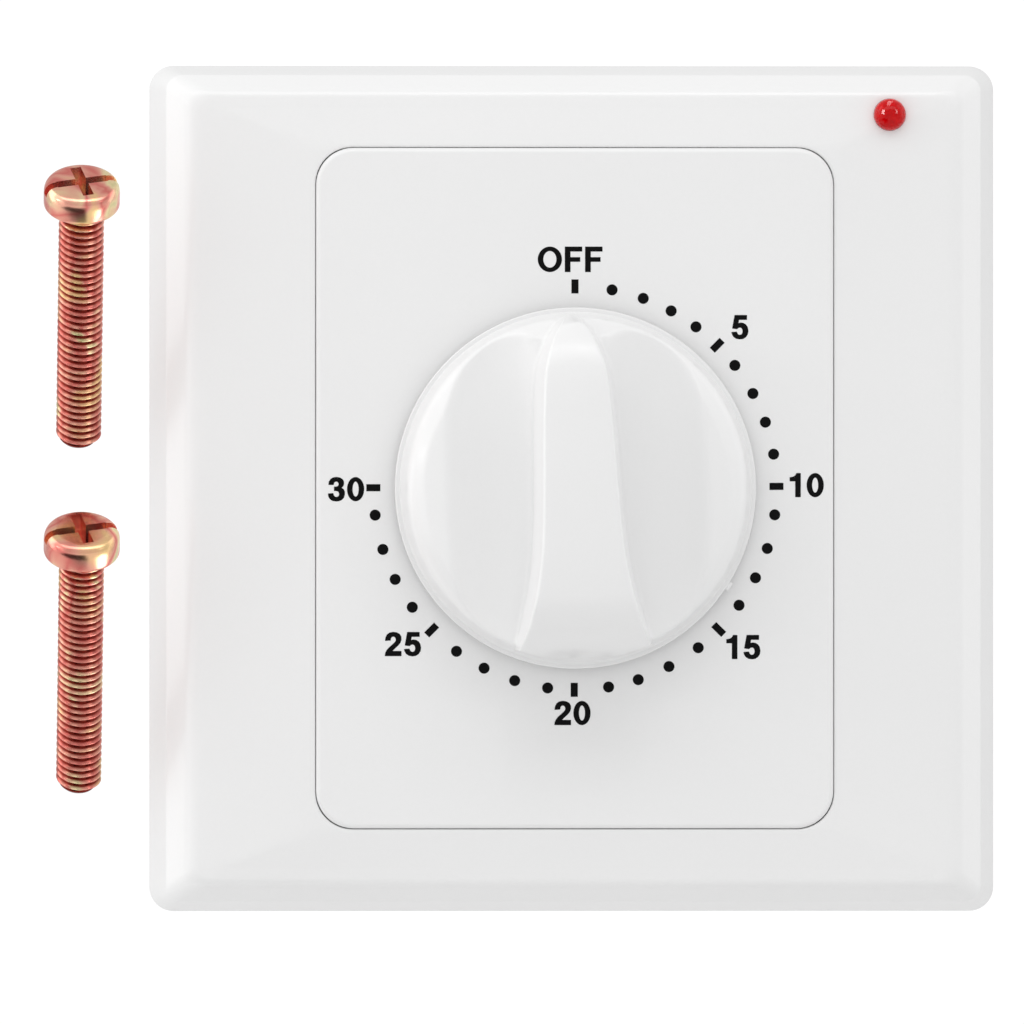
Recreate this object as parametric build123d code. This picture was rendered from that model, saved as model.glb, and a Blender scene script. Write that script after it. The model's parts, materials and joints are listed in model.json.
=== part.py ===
from build123d import *
import os
from math import acos, asin, atan2, ceil, cos, degrees, hypot, pi, radians, sin, tan

# Mechanical countdown light switch for a square wall box, 86 mm across, fixed at 60.3 mm.
# X runs right, Y into the wall and Z up. The origin is the centre of the plate's back,
# on the wall. Heights are measured from the wall towards the room, along -Y.
# Sizes build up from the clockwork outwards: train, cage, tub, panel, plate.

os.makedirs("parts", exist_ok=True)

# Allowances shared by all pieces
overrun = 1.0
running_fit = 0.05
slip_fit = 0.1
close_gap = 0.2

# Gear train
pinion_teeth = 14
great_teeth = 70
wheel_teeth = 70
fourth_teeth = 56
train_module = 0.25
pressure_angle = 20.0
tooth_height_share = 0.8
tooth_root_share = 1.05
backlash = 0.06
wheel_clearance = 0.65
great_thickness = 1.5
washer_radius = 6.0
washer_thickness = 0.4
second_angle = -20.0
wheel_thickness = 1.0
wheel_gap = 0.5
pinion_lead = 0.3
pin_radius = 0.6
pivot_radius = 0.4
spoke_holes = 5
spoke_hole_share = 0.17
spoke_circle_share = 0.6
escape_teeth = 15
escape_radius = 4.6
escape_tooth_depth = 1.1
escape_tip_angle = 1.2
escape_thickness = 0.8

# Main arbor
arbor_radius = 3.0
arbor_reach = 9.2
arbor_end = 0.6
flat_depth = 0.8
flat_run_out = 1.8
collar_radius = 4.5
collar_thickness = 0.4
rear_pivot_radius = 2.0

# End stops
stop_room = 2.7
stop_gap = 0.3
stop_thickness = 1.2
stop_hub_radius = 5.0
stop_pin_radius = 1.2
stop_pin_circle = 8.0
stop_play = 0.3
knob_rest = 2.4
full_turn = 360.0

# Regulator
pallet_offset = 0.9
pallet_pin_radius = 0.25
pallet_clearance = 0.2
pallet_half_span = 42.0
pallet_thickness = 0.8
pallet_gap = 0.3
pallet_arm = 1.1
pallet_hub_radius = 1.2
pallet_arbor_radius = 0.5
inertia_gap = 0.6
inertia_thickness = 1.2
inertia_half_length = 5.5
inertia_width = 2.0
inertia_lean = 35.0
inertia_room = 2.2

# Mainspring
spring_gap = 0.4
spring_strip = 0.25
spring_turns = 5
spring_margin = 3.4
spring_point_count = 36
post_radius = 0.7
post_angle = 250.0

# Clockwork cage
cage_plate = 1.0
cage_side_margin = 0.25
cage_top_margin = 0.8
cage_bottom_margin = 1.741
cage_corner = 1.5
pillar_radius = 1.4
pillar_inset = 1.8
column_radius = 2.0
cage_screw_radius = 0.9
cage_screw_head_radius = 1.8
cage_screw_head = 1.2
cage_screw_grip = 4.0
counterbore_depth = 1.0

# Switch cam and contacts
cam_gap = 1.0
cam_thickness = 2.5
cam_radius = 6.0
cam_notch_depth = 1.3
cam_notch_half_angle = 22.0
leaf_thickness = 0.3
bracket_thickness = 0.6
rivet_radius = 1.1
rivet_height = 0.7
contact_gap = 1.15
follower_gap = 0.7
follower_height = 2.9
follower_half_width = 1.6
rivet_x = 7.2
leaf_overhang = 2.0
contact_foot = 6.0
riser_offset = 3.2

# Terminals
terminal_spacing = 12.0
terminal_width = 8.0
terminal_height = 7.0
terminal_depth = 8.0
terminal_gap = 3.4
terminal_end = 1.2
wire_bore_radius = 1.5
wire_hole_radius = 1.9
wire_bore_rise = 4.1
terminal_screw_radius = 1.5
terminal_screw_gap = 0.3
terminal_head_radius = 2.6
terminal_head = 1.6
terminal_head_proud = 0.3
terminal_access_radius = 2.9
terminal_rib = 1.2
terminal_slot = 0.7

# Rear housing
cage_side_gap = 1.0
cage_top_gap = 0.8
tub_corner = 2.0
tub_wall = 1.6
tub_floor = 1.8
tail_room = 2.9
ear_radius = 2.5
ear_thickness = 1.6
ear_x = 17.0
ear_reach = 3.15
small_screw_radius = 1.1
small_screw_head_radius = 2.0
small_screw_head = 1.4
small_screw_length = 4.4
small_screw_slot = 0.5
small_screw_slot_depth = 0.6

# Dial panel
panel_corner = 3.8
panel_thickness = 2.0
panel_edge_round = 0.5
panel_gap = 0.2
skirt_inset = 0.7
skirt_wall = 1.0
skirt_play = 0.15
boss_height = 2.0

# Front frame
plate_margin = 8.5
plate_corner = 2.5
rim_height = 5.6
rim_inset = 1.6
bevel_rise = 2.5
bevel_inset = 4.1
bevel_corner = 1.8
crown_rise = 0.8
crown_edge_rise = 0.1
crown_radius = 1.4
frame_wall = 2.0
cavity_height = 5.0
cavity_inset = 3.6
ceiling_rise = 1.6
ceiling_inset = 5.8
cavity_corner = 1.2
clip_width = 9.0
clip_thickness = 1.2
clip_foot = 0.6
clip_places = 15.0

# Support plate
support_play = 0.412
support_corner = 4.0
web_back = 1.8
web_thickness = 1.6
support_rim = 1.6
slot_offset = 5.75
slot_length = 8.0
slot_radius = 2.1
slot_boss = 2.2

# Printed scale
ink_thickness = 0.02
figure_margin = 2.85
figure_gap = 2.95
dot_diameter = 1.12
dash_length = 1.42
dash_width = 0.72
minutes = 30
minutes_per_dash = 5
degrees_per_minute = 9.0
digit_height = 2.36
digit_swell = 0.045
letter_swell = 0.02
letter_height = 2.54
glyph_gap_share = 0.13

# Marks stand this many degrees past their minute, from OFF on, as printed
mark_lag_degrees = (
    0.0, 1.6, 1.8, 1.5, 0.9, -0.1, -1.5, -1.0, -1.1, -0.7, -0.5, -1.4, -0.6, -0.6, -0.5, -0.5,
    -1.7, -0.8, -0.3, -0.6, 0.2, -1.2, -0.6, -0.2, 0.0, 0.3, -0.2, 0.1, 0.3, 1.3, 0.1,
)

# Places of the figures, across and up, as shares of the figures' radius
figure_place_shares = {
    "OFF": (-0.0209, 0.9912), "5": (0.7150, 0.6979), "10": (1.0051, 0.0131), "15": (0.7303, -0.6885),
    "20": (-0.0115, -0.9744), "25": (-0.7463, -0.6756), "30": (-0.9926, -0.0046),
}

# Knob
knob_margin = 2.15
knob_lift = 0.8
lip_thickness = 0.8
lip_step = 0.5
wall_top_inset = 0.8
wall_top_height = 3.0
shoulder_inset = 1.6
shoulder_height = 5.0
ridge_inset = 3.9
ridge_height = 6.5
dome_height = 7.3
skirt_thickness = 1.3
cavity_depth = 3.2
hub_outer_radius = 5.5
hub_foot = 0.5
bore_spare = 1.0
scoop_x = 8.3
scoop_radius = 7.0
scoop_floor = 4.9
nub_angle = -35.0
nub_width = 0.9
nub_reach = 0.35
nub_thickness = 0.6
bar_half_width = 3.8
bar_height = 14.8
bar_foot = 2.4

# Grip bar along its length, nose first: places as shares of the knob's radius,
# half widths as shares of the bar's half width
station_shares = (
    0.967, 0.940, 0.902, 0.842, 0.760, 0.650, 0.437, 0.262, -0.071, -0.295, -0.519, -0.738, -0.880, -0.962,
)
half_width_shares = (
    0.0, 0.163, 0.316, 0.508, 0.671, 0.816, 0.908, 0.95, 1.018, 1.084, 1.232, 1.487, 1.726, 1.882,
)

# Its back line from the side, nose first: places as above, heights as shares of the bar's height
back_place_shares = (0.948, 0.915, 0.891, 0.743, 0.437, 0.109, -0.273, -0.601, -0.765, -0.874, -0.934)
back_height_shares = (0.439, 0.736, 0.791, 0.939, 0.986, 1.0, 0.980, 0.919, 0.811, 0.622, 0.392)
nose_foot_share = 0.967
tail_foot_share = -0.956

# Lamp
lamp_inset_x = 11.0
lamp_inset_z = 5.1
lamp_radius = 1.5
lamp_flange_radius = 1.9
lamp_flange = 1.0
lamp_stand = 0.5
lamp_neck = 2.7
lamp_hole_radius = 1.65
lamp_counterbore_radius = 2.1
lead_side = 0.45
lead_spacing = 2.54
board_thickness = 1.0
board_left = 5.4
board_right = 3.4
board_below = 3.8
board_above = 0.6
resistor_radius = 0.8
resistor_length = 3.4
resistor_offset = 3.0
resistor_drop = 2.4
resistor_lead_radius = 0.25
resistor_lead_span = 4.4
resistor_lead_bend = 0.4

# Loose fixing screws
fixing_radius = 2.3
fixing_root_radius = 1.92
fixing_pitch = 0.78
fixing_length = 28.4
fixing_head_radius = 3.85
fixing_head = 2.9
fixing_head_round = 1.5
fixing_head_foot_round = 0.45
fixing_plain = 0.6
fixing_tip = 0.8
fixing_slot_width = 0.9
fixing_slot_depth = 1.1
cross_width = 1.1
cross_length = 5.2
cross_depth = 1.9
fixing_lean = 34.0
fixing_turn = 14.0
fixing_offset = 7.2
fixing_upper_z = 28.5
fixing_drop = 35.05
fixing_forward = 18.5

# Plan sizes that follow: the arbors stand on one circle round the main arbor,
# wide enough for each wheel to pass the main arbor
wheel_tip_radius = train_module * (wheel_teeth / 2 + tooth_height_share)
fourth_tip_radius = train_module * (fourth_teeth / 2 + tooth_height_share)
drive_distance = wheel_tip_radius + arbor_radius + wheel_clearance
drive_module = 2 * drive_distance / (great_teeth + pinion_teeth)
train_distance = train_module * (wheel_teeth + pinion_teeth) / 2
escape_distance = train_module * (fourth_teeth + pinion_teeth) / 2
pallet_distance = escape_radius + pallet_offset
cage_half_width = drive_distance + wheel_tip_radius + cage_side_margin
cage_top = drive_distance + fourth_tip_radius + cage_top_margin
cage_bottom = drive_distance * sin(radians(second_angle)) - wheel_tip_radius - cage_bottom_margin
tub_width = 2 * (cage_half_width + cage_side_gap + tub_wall)
tub_top = cage_top + cage_top_gap + tub_wall
tub_bottom = cage_bottom - terminal_gap - terminal_height - tub_wall
ear_top_z = tub_top + ear_reach
ear_bottom_z = tub_bottom - ear_reach
skirt_reach = skirt_play + skirt_wall + skirt_inset
panel_width = tub_width + 2 * skirt_reach
panel_height = 2 * (ear_radius - ear_bottom_z + skirt_reach)
plate_side = panel_height + 2 * plate_margin
figure_radius = panel_width / 2 - figure_margin
scale_radius = figure_radius - figure_gap
knob_radius = scale_radius - knob_margin

# Heights that follow, from the support plate to the knob
web_front = web_back + web_thickness
ear_back = web_front + close_gap
ear_front = ear_back + ear_thickness
panel_back = ear_front + boss_height
panel_front = panel_back + panel_thickness
knob_back = panel_front + knob_lift
arbor_front = knob_back + arbor_reach
bore_top = arbor_front + bore_spare
bevel_height = rim_height + bevel_rise
crown_edge_height = bevel_height + crown_edge_rise
crown_height = bevel_height + crown_rise
ceiling_height = cavity_height + ceiling_rise

# Heights that follow, from the panel back into the wall
cage_face = panel_back - stop_room
cage_front = cage_face - cage_plate
stop_back = cage_face + stop_gap
stop_front = stop_back + stop_thickness
washer_front = cage_front - slip_fit
great_front = washer_front - washer_thickness
great_back = great_front - great_thickness
collar_back = great_back - collar_thickness
second_wheel_front = collar_back - close_gap
third_wheel_front = second_wheel_front - wheel_thickness - wheel_gap
fourth_wheel_front = third_wheel_front - wheel_thickness - wheel_gap
escape_wheel_front = fourth_wheel_front - wheel_thickness - wheel_gap
pallet_pin_front = escape_wheel_front - slip_fit
pallet_front = escape_wheel_front - escape_thickness - pallet_gap
pallet_back = pallet_front - pallet_thickness
inertia_front = pallet_back - inertia_gap
cage_back = inertia_front - inertia_thickness - inertia_room
spring_front = pallet_back - spring_gap
spring_back = cage_back + spring_gap
cage_rear = cage_back - cage_plate
cam_front = cage_rear - cam_gap
cam_back = cam_front - cam_thickness
strip_front = cam_front + close_gap
strip_back = cam_back - close_gap
arbor_tail = cam_back - arbor_end
floor_front = arbor_tail - tail_room
tub_back = floor_front - tub_floor
counterbore_front = tub_back + counterbore_depth
terminal_front = floor_front + terminal_depth
wire_bore_height = floor_front + wire_bore_rise
terminal_screw_tip = wire_bore_height - wire_bore_radius - terminal_screw_gap
terminal_head_back = tub_back - terminal_head_proud


def level(height):
    # A sketch plane at this height off the wall, facing the room
    return Plane.XZ.offset(height)


def slab(outline, back, front):
    # An outline carried from one height to another
    return extrude(level(back) * outline, amount=front - back)


def rod(x, z, radius, back, front):
    return slab(Pos(x, z) * Circle(radius), back, front)


def outline_of(points):
    return make_face(Polyline(*points, close=True))


def rounded(width, height, corner):
    return RectangleRounded(width, height, corner)


def tapered(back, front, back_side, front_side, back_corner, front_corner):
    # A square block with rounded corners whose side changes from back to front
    first = level(back) * rounded(back_side, back_side, back_corner)
    last = level(front) * rounded(front_side, front_side, front_corner)
    return loft([first.face(), last.face()], ruled=True)


def on_circle(radius, angle):
    return (radius * cos(radians(angle)), radius * sin(radians(angle)))


def bearing(start, end):
    return degrees(atan2(end[1] - start[1], end[0] - start[0]))


def step_angle(chord):
    # Turn round the main arbor between two places this far apart
    return 2 * degrees(asin(chord / (2 * drive_distance)))


def flatted(radius, flat_level):
    # A circle cut flat at this distance above its centre
    return Circle(radius) & Pos(0, flat_level - radius) * Rectangle(2 * radius, 2 * radius)


def save(piece, name):
    export_step(piece, "parts/" + name + ".step")


# Front frame: sloped rim, bevelled band and a face crowned both ways
rim_side = plate_side - 2 * rim_inset
bevel_side = plate_side - 2 * bevel_inset
rim_corner = plate_corner - rim_inset / 2
window_width = panel_width + 2 * panel_gap
window_height = panel_height + 2 * panel_gap
window_corner = panel_corner + panel_gap

frame_block = tapered(0, rim_height, plate_side, rim_side, plate_corner, rim_corner)
frame_block += tapered(rim_height, bevel_height, rim_side, bevel_side, rim_corner, bevel_corner)
half_plate = plate_side / 2
half_bevel = bevel_side / 2
half_window_width = window_width / 2
half_window_height = window_height / 2
crown_top = crown_height + overrun


def crown(half_window):
    # Side profile of the crowned face, highest at the window's edge
    return outline_of(
        [
            (-half_plate, -overrun),
            (half_plate, -overrun),
            (half_plate, bevel_height),
            (half_bevel, bevel_height),
            (half_bevel - crown_radius, crown_edge_height),
            (half_window, crown_height),
            (-half_window, crown_height),
            (-half_bevel + crown_radius, crown_edge_height),
            (-half_bevel, bevel_height),
            (-half_plate, bevel_height),
        ]
    )


across = Plane(origin=(0, 0, -half_plate), x_dir=(1, 0, 0), z_dir=(0, 0, 1))
upright = Plane(origin=(-half_plate, 0, 0), x_dir=(0, 0, 1), z_dir=(1, 0, 0))
crown_x = extrude(across * mirror(crown(half_window_width), about=Plane.XZ), amount=plate_side)
crown_z = extrude(upright * crown(half_window_height), amount=plate_side)
face_block = slab(rounded(bevel_side, bevel_side, bevel_corner), bevel_height, crown_top)
front_frame = frame_block + (face_block & crown_x & crown_z)
cavity_back = plate_side - 2 * frame_wall
cavity_side = plate_side - 2 * cavity_inset
ceiling_side = plate_side - 2 * ceiling_inset
cavity = tapered(0, cavity_height, cavity_back, cavity_side, cavity_corner, cavity_corner)
cavity += tapered(cavity_height, ceiling_height, cavity_side, ceiling_side, cavity_corner, cavity_corner)
lamp_x = half_plate - lamp_inset_x
lamp_z = half_plate - lamp_inset_z
board_front = web_front + board_thickness
lamp_flange_back = board_front + lamp_stand
lamp_flange_front = lamp_flange_back + lamp_flange
front_frame -= cavity
front_frame -= slab(rounded(window_width, window_height, window_corner), -overrun, crown_top)
front_frame -= rod(lamp_x, lamp_z, lamp_hole_radius, 0, crown_top)
front_frame -= rod(lamp_x, lamp_z, lamp_counterbore_radius, 0, lamp_flange_front + close_gap)

# Four clips that grip the rim of the support plate
support_drop = (cavity_inset - frame_wall) * web_front / cavity_height
support_side = cavity_back - 2 * (support_drop + support_play)
clip_inner = support_side / 2 + slip_fit
clip_middle = clip_inner + clip_thickness / 2
for turn in range(4):
    clip = Pos(clip_middle, clip_places) * Rectangle(clip_thickness, clip_width)
    clip += Pos(clip_middle, -clip_places) * Rectangle(clip_thickness, clip_width)
    front_frame += slab(Rot(0, 0, 90 * turn) * clip, clip_foot, cavity_height + clip_foot)
save(front_frame, "front_frame")

# Dial panel: plate with rounded edges, skirt, screw bosses and arbor hole
panel_outline = rounded(panel_width, panel_height, panel_corner)
dial_panel = slab(panel_outline, panel_back, panel_front)
dial_panel = fillet(dial_panel.faces().sort_by(Axis.Y)[0].edges(), panel_edge_round)
skirt_width = panel_width - 2 * skirt_inset
skirt_height = panel_height - 2 * skirt_inset
skirt_corner = panel_corner - skirt_inset
skirt = rounded(skirt_width, skirt_height, skirt_corner)
skirt -= rounded(skirt_width - 2 * skirt_wall, skirt_height - 2 * skirt_wall, skirt_corner - skirt_wall)
dial_panel += slab(skirt, web_front, panel_back)
arbor_hole_radius = arbor_radius + close_gap
dial_panel -= rod(0, 0, arbor_hole_radius, panel_back - overrun, panel_front + overrun)
ear_places = [(side * ear_x, z) for side in (-1, 1) for z in (ear_top_z, ear_bottom_z)]
boss_radius = ear_radius - close_gap
screw_tip = ear_back + small_screw_length
for x, z in ear_places:
    dial_panel += rod(x, z, boss_radius, ear_front, panel_back)
    dial_panel -= rod(x, z, small_screw_radius, ear_front, screw_tip + slip_fit)
save(dial_panel, "dial_panel")

# Outlines of the printed figures, as shares of their height
one_shares = (
    (0.24, 0.0), (0.44, 0.0), (0.44, 1.0), (0.28, 1.0), (0.24, 0.91),
    (0.14, 0.845), (0.0, 0.82), (0.0, 0.68), (0.24, 0.68),
)
two_shares = (
    (0.02, 0.655), (0.04, 0.78), (0.10, 0.90), (0.20, 0.975), (0.35, 1.005), (0.50, 0.985),
    (0.62, 0.92), (0.685, 0.81), (0.69, 0.69), (0.65, 0.57), (0.56, 0.455), (0.44, 0.345),
    (0.34, 0.25), (0.29, 0.185), (0.69, 0.185), (0.69, 0.0), (0.01, 0.0), (0.03, 0.12),
    (0.08, 0.22), (0.17, 0.33), (0.30, 0.445), (0.41, 0.545), (0.47, 0.62), (0.485, 0.69),
    (0.46, 0.78), (0.41, 0.825), (0.35, 0.84), (0.285, 0.82), (0.24, 0.76), (0.225, 0.67),
)
three_shares = (
    (0.03, 0.70), (0.05, 0.82), (0.12, 0.925), (0.22, 0.985), (0.35, 1.005), (0.49, 0.985),
    (0.60, 0.925), (0.66, 0.83), (0.665, 0.725), (0.63, 0.63), (0.55, 0.555), (0.65, 0.49),
    (0.70, 0.39), (0.70, 0.27), (0.66, 0.14), (0.57, 0.045), (0.46, 0.0), (0.34, -0.01),
    (0.20, 0.01), (0.09, 0.08), (0.03, 0.18), (0.01, 0.295), (0.205, 0.31), (0.235, 0.215),
    (0.285, 0.16), (0.35, 0.145), (0.43, 0.165), (0.48, 0.22), (0.49, 0.295), (0.47, 0.375),
    (0.41, 0.425), (0.33, 0.44), (0.27, 0.44), (0.27, 0.59), (0.35, 0.59), (0.42, 0.615),
    (0.465, 0.67), (0.465, 0.745), (0.43, 0.81), (0.36, 0.845), (0.29, 0.83), (0.24, 0.78),
    (0.22, 0.695),
)
five_shares = (
    (0.14, 1.0), (0.64, 1.0), (0.64, 0.83), (0.30, 0.83), (0.27, 0.64), (0.33, 0.665),
    (0.40, 0.675), (0.50, 0.66), (0.60, 0.60), (0.67, 0.50), (0.70, 0.34), (0.68, 0.20),
    (0.60, 0.08), (0.49, 0.01), (0.35, -0.01), (0.20, 0.015), (0.09, 0.09), (0.03, 0.19),
    (0.01, 0.27), (0.21, 0.285), (0.245, 0.20), (0.30, 0.155), (0.355, 0.145), (0.43, 0.17),
    (0.475, 0.235), (0.487, 0.33), (0.47, 0.42), (0.42, 0.48), (0.355, 0.50), (0.28, 0.48),
    (0.225, 0.43), (0.04, 0.455),
)
f_shares = (
    (0.0, 0.0), (0.21, 0.0), (0.21, 0.41), (0.60, 0.41), (0.60, 0.58), (0.21, 0.58),
    (0.21, 0.82), (0.68, 0.82), (0.68, 1.0), (0.0, 1.0),
)
figure_shares = {"1": one_shares, "2": two_shares, "3": three_shares, "5": five_shares, "F": f_shares}
figure_width_share = 0.7
one_width_share = 0.6
f_width_share = 0.68
round_width_shares = {"0": 0.7, "O": 0.95}
round_side_shares = {"0": 0.2, "O": 0.205}
round_top_share = 0.16
width_shares = {"1": one_width_share, "2": figure_width_share, "3": figure_width_share}
width_shares.update({"5": figure_width_share, "F": f_width_share}, **round_width_shares)


def glyph(sign, height, swell):
    # One printed sign, standing on the line, with its left edge at zero
    if sign in round_width_shares:
        half = round_width_shares[sign] * height / 2
        hole = half - round_side_shares[sign] * height
        hole_top = height / 2 - round_top_share * height
        ring = Ellipse(half + swell, height / 2 + swell) - Ellipse(hole - swell, hole_top - swell)
        return Pos(half, height / 2) * ring
    return offset(outline_of([(x * height, y * height) for x, y in figure_shares[sign]]), swell)


def label(text, x, z, height, swell):
    # Signs side by side, centred on a place on the panel
    total = sum(width_shares[sign] for sign in text) + glyph_gap_share * (len(text) - 1)
    start = x - total * height / 2
    signs = []
    for sign in text:
        signs.append(Pos(start, z - height / 2) * glyph(sign, height, swell))
        start += (width_shares[sign] + glyph_gap_share) * height
    return signs


# Printed scale: a dash every five minutes, dots between, and the figures
ink = []
for minute in range(minutes + 1):
    turn = minute * degrees_per_minute + mark_lag_degrees[minute]
    spoke = Rot(0, 0, 90 - turn) * Pos(scale_radius, 0)
    if minute % minutes_per_dash:
        ink.append(spoke * Circle(dot_diameter / 2))
    else:
        ink.append(spoke * Rectangle(dash_length, dash_width))
for text, (x_share, z_share) in figure_place_shares.items():
    height, swell = (digit_height, digit_swell) if text.isdigit() else (letter_height, letter_swell)
    ink += label(text, x_share * figure_radius, z_share * figure_radius, height, swell)
dial_print = Compound([slab(mark, panel_front, panel_front + ink_thickness).solid() for mark in ink])
save(dial_print, "dial_print")

# Support plate: web with rim, slots for the box screws and the opening for the tub
tub_height = tub_top - tub_bottom
tub_middle = (tub_top + tub_bottom) / 2
opening = Pos(0, tub_middle) * rounded(tub_width + 2 * close_gap, tub_height + 2 * close_gap, tub_corner)
support = rounded(support_side, support_side, support_corner)
inner_side = support_side - 2 * support_rim
support_inner = rounded(inner_side, inner_side, support_corner - support_rim)
support_plate = slab(support, 0, web_front) - slab(support_inner, -overrun, web_back)
slot_places = [side * (tub_width / 2 + slot_offset) for side in (-1, 1)]
for x in slot_places:
    boss = Pos(x, 0) * SlotOverall(slot_length + 2 * slot_boss, 2 * (slot_radius + slot_boss))
    support_plate += slab(boss, 0, web_back) - slab(opening, -overrun, web_front)
for x in slot_places:
    slot = Pos(x, 0) * SlotOverall(slot_length, 2 * slot_radius)
    support_plate -= slab(slot, -overrun, web_front + overrun)
support_plate -= slab(opening, -overrun, web_front + overrun)
for x, z in ear_places:
    support_plate -= rod(x, z, small_screw_head_radius + close_gap, 0, web_front + overrun)
save(support_plate, "support_plate")

# Rear housing: tub, ears, columns for the cage and places for the terminals
tub_outline = Pos(0, tub_middle) * rounded(tub_width, tub_height, tub_corner)
tub_inner = Pos(0, tub_middle) * rounded(tub_width - 2 * tub_wall, tub_height - 2 * tub_wall, tub_corner / 2)
rear_housing = slab(tub_outline, tub_back, panel_back) - slab(tub_inner, floor_front, panel_back + overrun)
for x, z in ear_places:
    ear_root = Rectangle(2 * ear_radius, abs(z - tub_middle))
    ear = Pos(x, z) * Circle(ear_radius) + Pos(x, (z + tub_middle) / 2) * ear_root
    rear_housing += slab(ear, ear_back, ear_front) - slab(tub_inner, ear_back - overrun, panel_back)
    rear_housing -= rod(x, z, small_screw_radius + slip_fit, ear_back - overrun, ear_front + overrun)
pillar_x = cage_half_width - pillar_inset
pillar_top = cage_top - pillar_inset
pillar_bottom = cage_bottom + pillar_inset
pillar_places = [(side * pillar_x, z) for side in (-1, 1) for z in (pillar_bottom, pillar_top)]
for x, z in pillar_places:
    rear_housing += rod(x, z, column_radius, floor_front, cage_rear)
    rear_housing -= rod(x, z, cage_screw_radius + slip_fit, tub_back - overrun, cage_rear + overrun)
    rear_housing -= rod(x, z, cage_screw_head_radius + slip_fit, tub_back - overrun, counterbore_front)
terminal_places = [place * terminal_spacing for place in (-1, 0, 1)]
tub_inner_bottom = tub_bottom + tub_wall
terminal_top = tub_inner_bottom + terminal_height
terminal_middle = (tub_inner_bottom + terminal_top) / 2
for x in terminal_places:
    entry = Pos(x, -wire_bore_height, tub_bottom) * Cylinder(wire_hole_radius, 2 * (tub_wall + overrun))
    rear_housing -= entry
    rear_housing -= rod(x, terminal_middle, terminal_access_radius, tub_back - overrun, floor_front + overrun)
for side in (-1, 1):
    rib = Pos(side * terminal_spacing / 2, terminal_middle) * Rectangle(terminal_rib, terminal_height)
    rear_housing += slab(rib, floor_front, terminal_front)
save(rear_housing, "rear_housing")


def slotted_screw(x, z, head_back, head_front, tip, head_radius, radius, slot, depth):
    # Cheese-head screw whose head faces the wall and whose tip faces the room
    screw = rod(x, z, head_radius, head_back, head_front) + rod(x, z, radius, head_front, tip)
    groove = Pos(x, z) * Rectangle(2 * (head_radius + overrun), slot)
    return screw - slab(groove, head_back - overrun, head_back + depth)


# Screws that hold the tub to the panel
ear_names = ("lower_left", "upper_left", "lower_right", "upper_right")
for name, (x, z) in zip(("upper_left", "lower_left", "upper_right", "lower_right"), ear_places):
    screw = slotted_screw(
        x, z, ear_back - small_screw_head, ear_back, screw_tip,
        small_screw_head_radius, small_screw_radius, small_screw_slot, small_screw_slot_depth,
    )
    save(screw, "housing_screw_" + name)

# Places of the arbors on their circle
third_angle = second_angle + step_angle(train_distance)
fourth_angle = third_angle + step_angle(train_distance)
escape_angle = fourth_angle + step_angle(escape_distance)
pallet_angle = escape_angle + step_angle(pallet_distance)
second_place = on_circle(drive_distance, second_angle)
third_place = on_circle(drive_distance, third_angle)
fourth_place = on_circle(drive_distance, fourth_angle)
escape_place = on_circle(drive_distance, escape_angle)
pallet_place = on_circle(drive_distance, pallet_angle)

# Clockwork cage: two plates on four pillars
cage_middle = (cage_top + cage_bottom) / 2
cage_outline = Pos(0, cage_middle) * rounded(2 * cage_half_width, cage_top - cage_bottom, cage_corner)
front_plate = slab(cage_outline, cage_front, cage_face)
back_plate = slab(cage_outline, cage_rear, cage_back)
front_plate -= rod(0, 0, arbor_radius + running_fit, cage_front - overrun, cage_face + overrun)
back_plate -= rod(0, 0, rear_pivot_radius + running_fit, cage_rear - overrun, cage_back + overrun)
train_places = (second_place, third_place, fourth_place, escape_place, pallet_place)
for x, z in train_places:
    front_plate -= rod(x, z, pivot_radius + running_fit, cage_front - overrun, cage_face + overrun)
    back_plate -= rod(x, z, pivot_radius + running_fit, cage_rear - overrun, cage_back + overrun)
stop_angle = 90 + knob_rest
stop_pin_x, stop_pin_z = on_circle(stop_pin_circle, stop_angle)
front_plate -= rod(stop_pin_x, stop_pin_z, stop_pin_radius, cage_front - overrun, cage_face + overrun)
spring_outer = drive_distance - spring_margin
post_x, post_z = on_circle(spring_outer + spring_strip + post_radius, post_angle)
back_plate -= rod(post_x, post_z, post_radius, cage_rear - overrun, cage_back + overrun)
for x, z in pillar_places:
    back_plate -= rod(x, z, cage_screw_radius + slip_fit, cage_rear - overrun, cage_back + overrun)
save(front_plate, "front_plate")
save(back_plate, "back_plate")
cage_screw_tip = cage_back + cage_screw_grip
for name, (x, z) in zip(ear_names, pillar_places):
    pillar = rod(x, z, pillar_radius, cage_back, cage_front)
    pillar -= rod(x, z, cage_screw_radius, cage_back - overrun, cage_screw_tip + slip_fit)
    save(pillar, "pillar_" + name)
    screw = slotted_screw(
        x, z, counterbore_front - cage_screw_head, counterbore_front, cage_screw_tip,
        cage_screw_head_radius, cage_screw_radius, small_screw_slot, small_screw_slot_depth,
    )
    save(screw, "movement_screw_" + name)

# End stops: a lobed plate on the arbor and a pin in the cage
pin_half_angle = degrees(asin(stop_pin_radius / stop_pin_circle))
knob_travel = minutes * degrees_per_minute + knob_rest
lobe_angle = full_turn - knob_travel - 2 * (pin_half_angle + stop_play)
lobe_end = stop_angle - pin_half_angle - stop_play
lobe_start = lobe_end - lobe_angle
stop_lobe_radius = stop_pin_circle + stop_pin_radius
lobe_steps = 12
lobe = [on_circle(stop_lobe_radius, lobe_start + lobe_angle * i / lobe_steps) for i in range(lobe_steps + 1)]
stop_outline = Circle(stop_hub_radius) + outline_of([(0, 0)] + lobe) - Circle(arbor_radius)
save(slab(stop_outline, stop_back, stop_front), "stop_plate")
save(rod(stop_pin_x, stop_pin_z, stop_pin_radius, cage_front, stop_front), "stop_pin")

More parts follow.
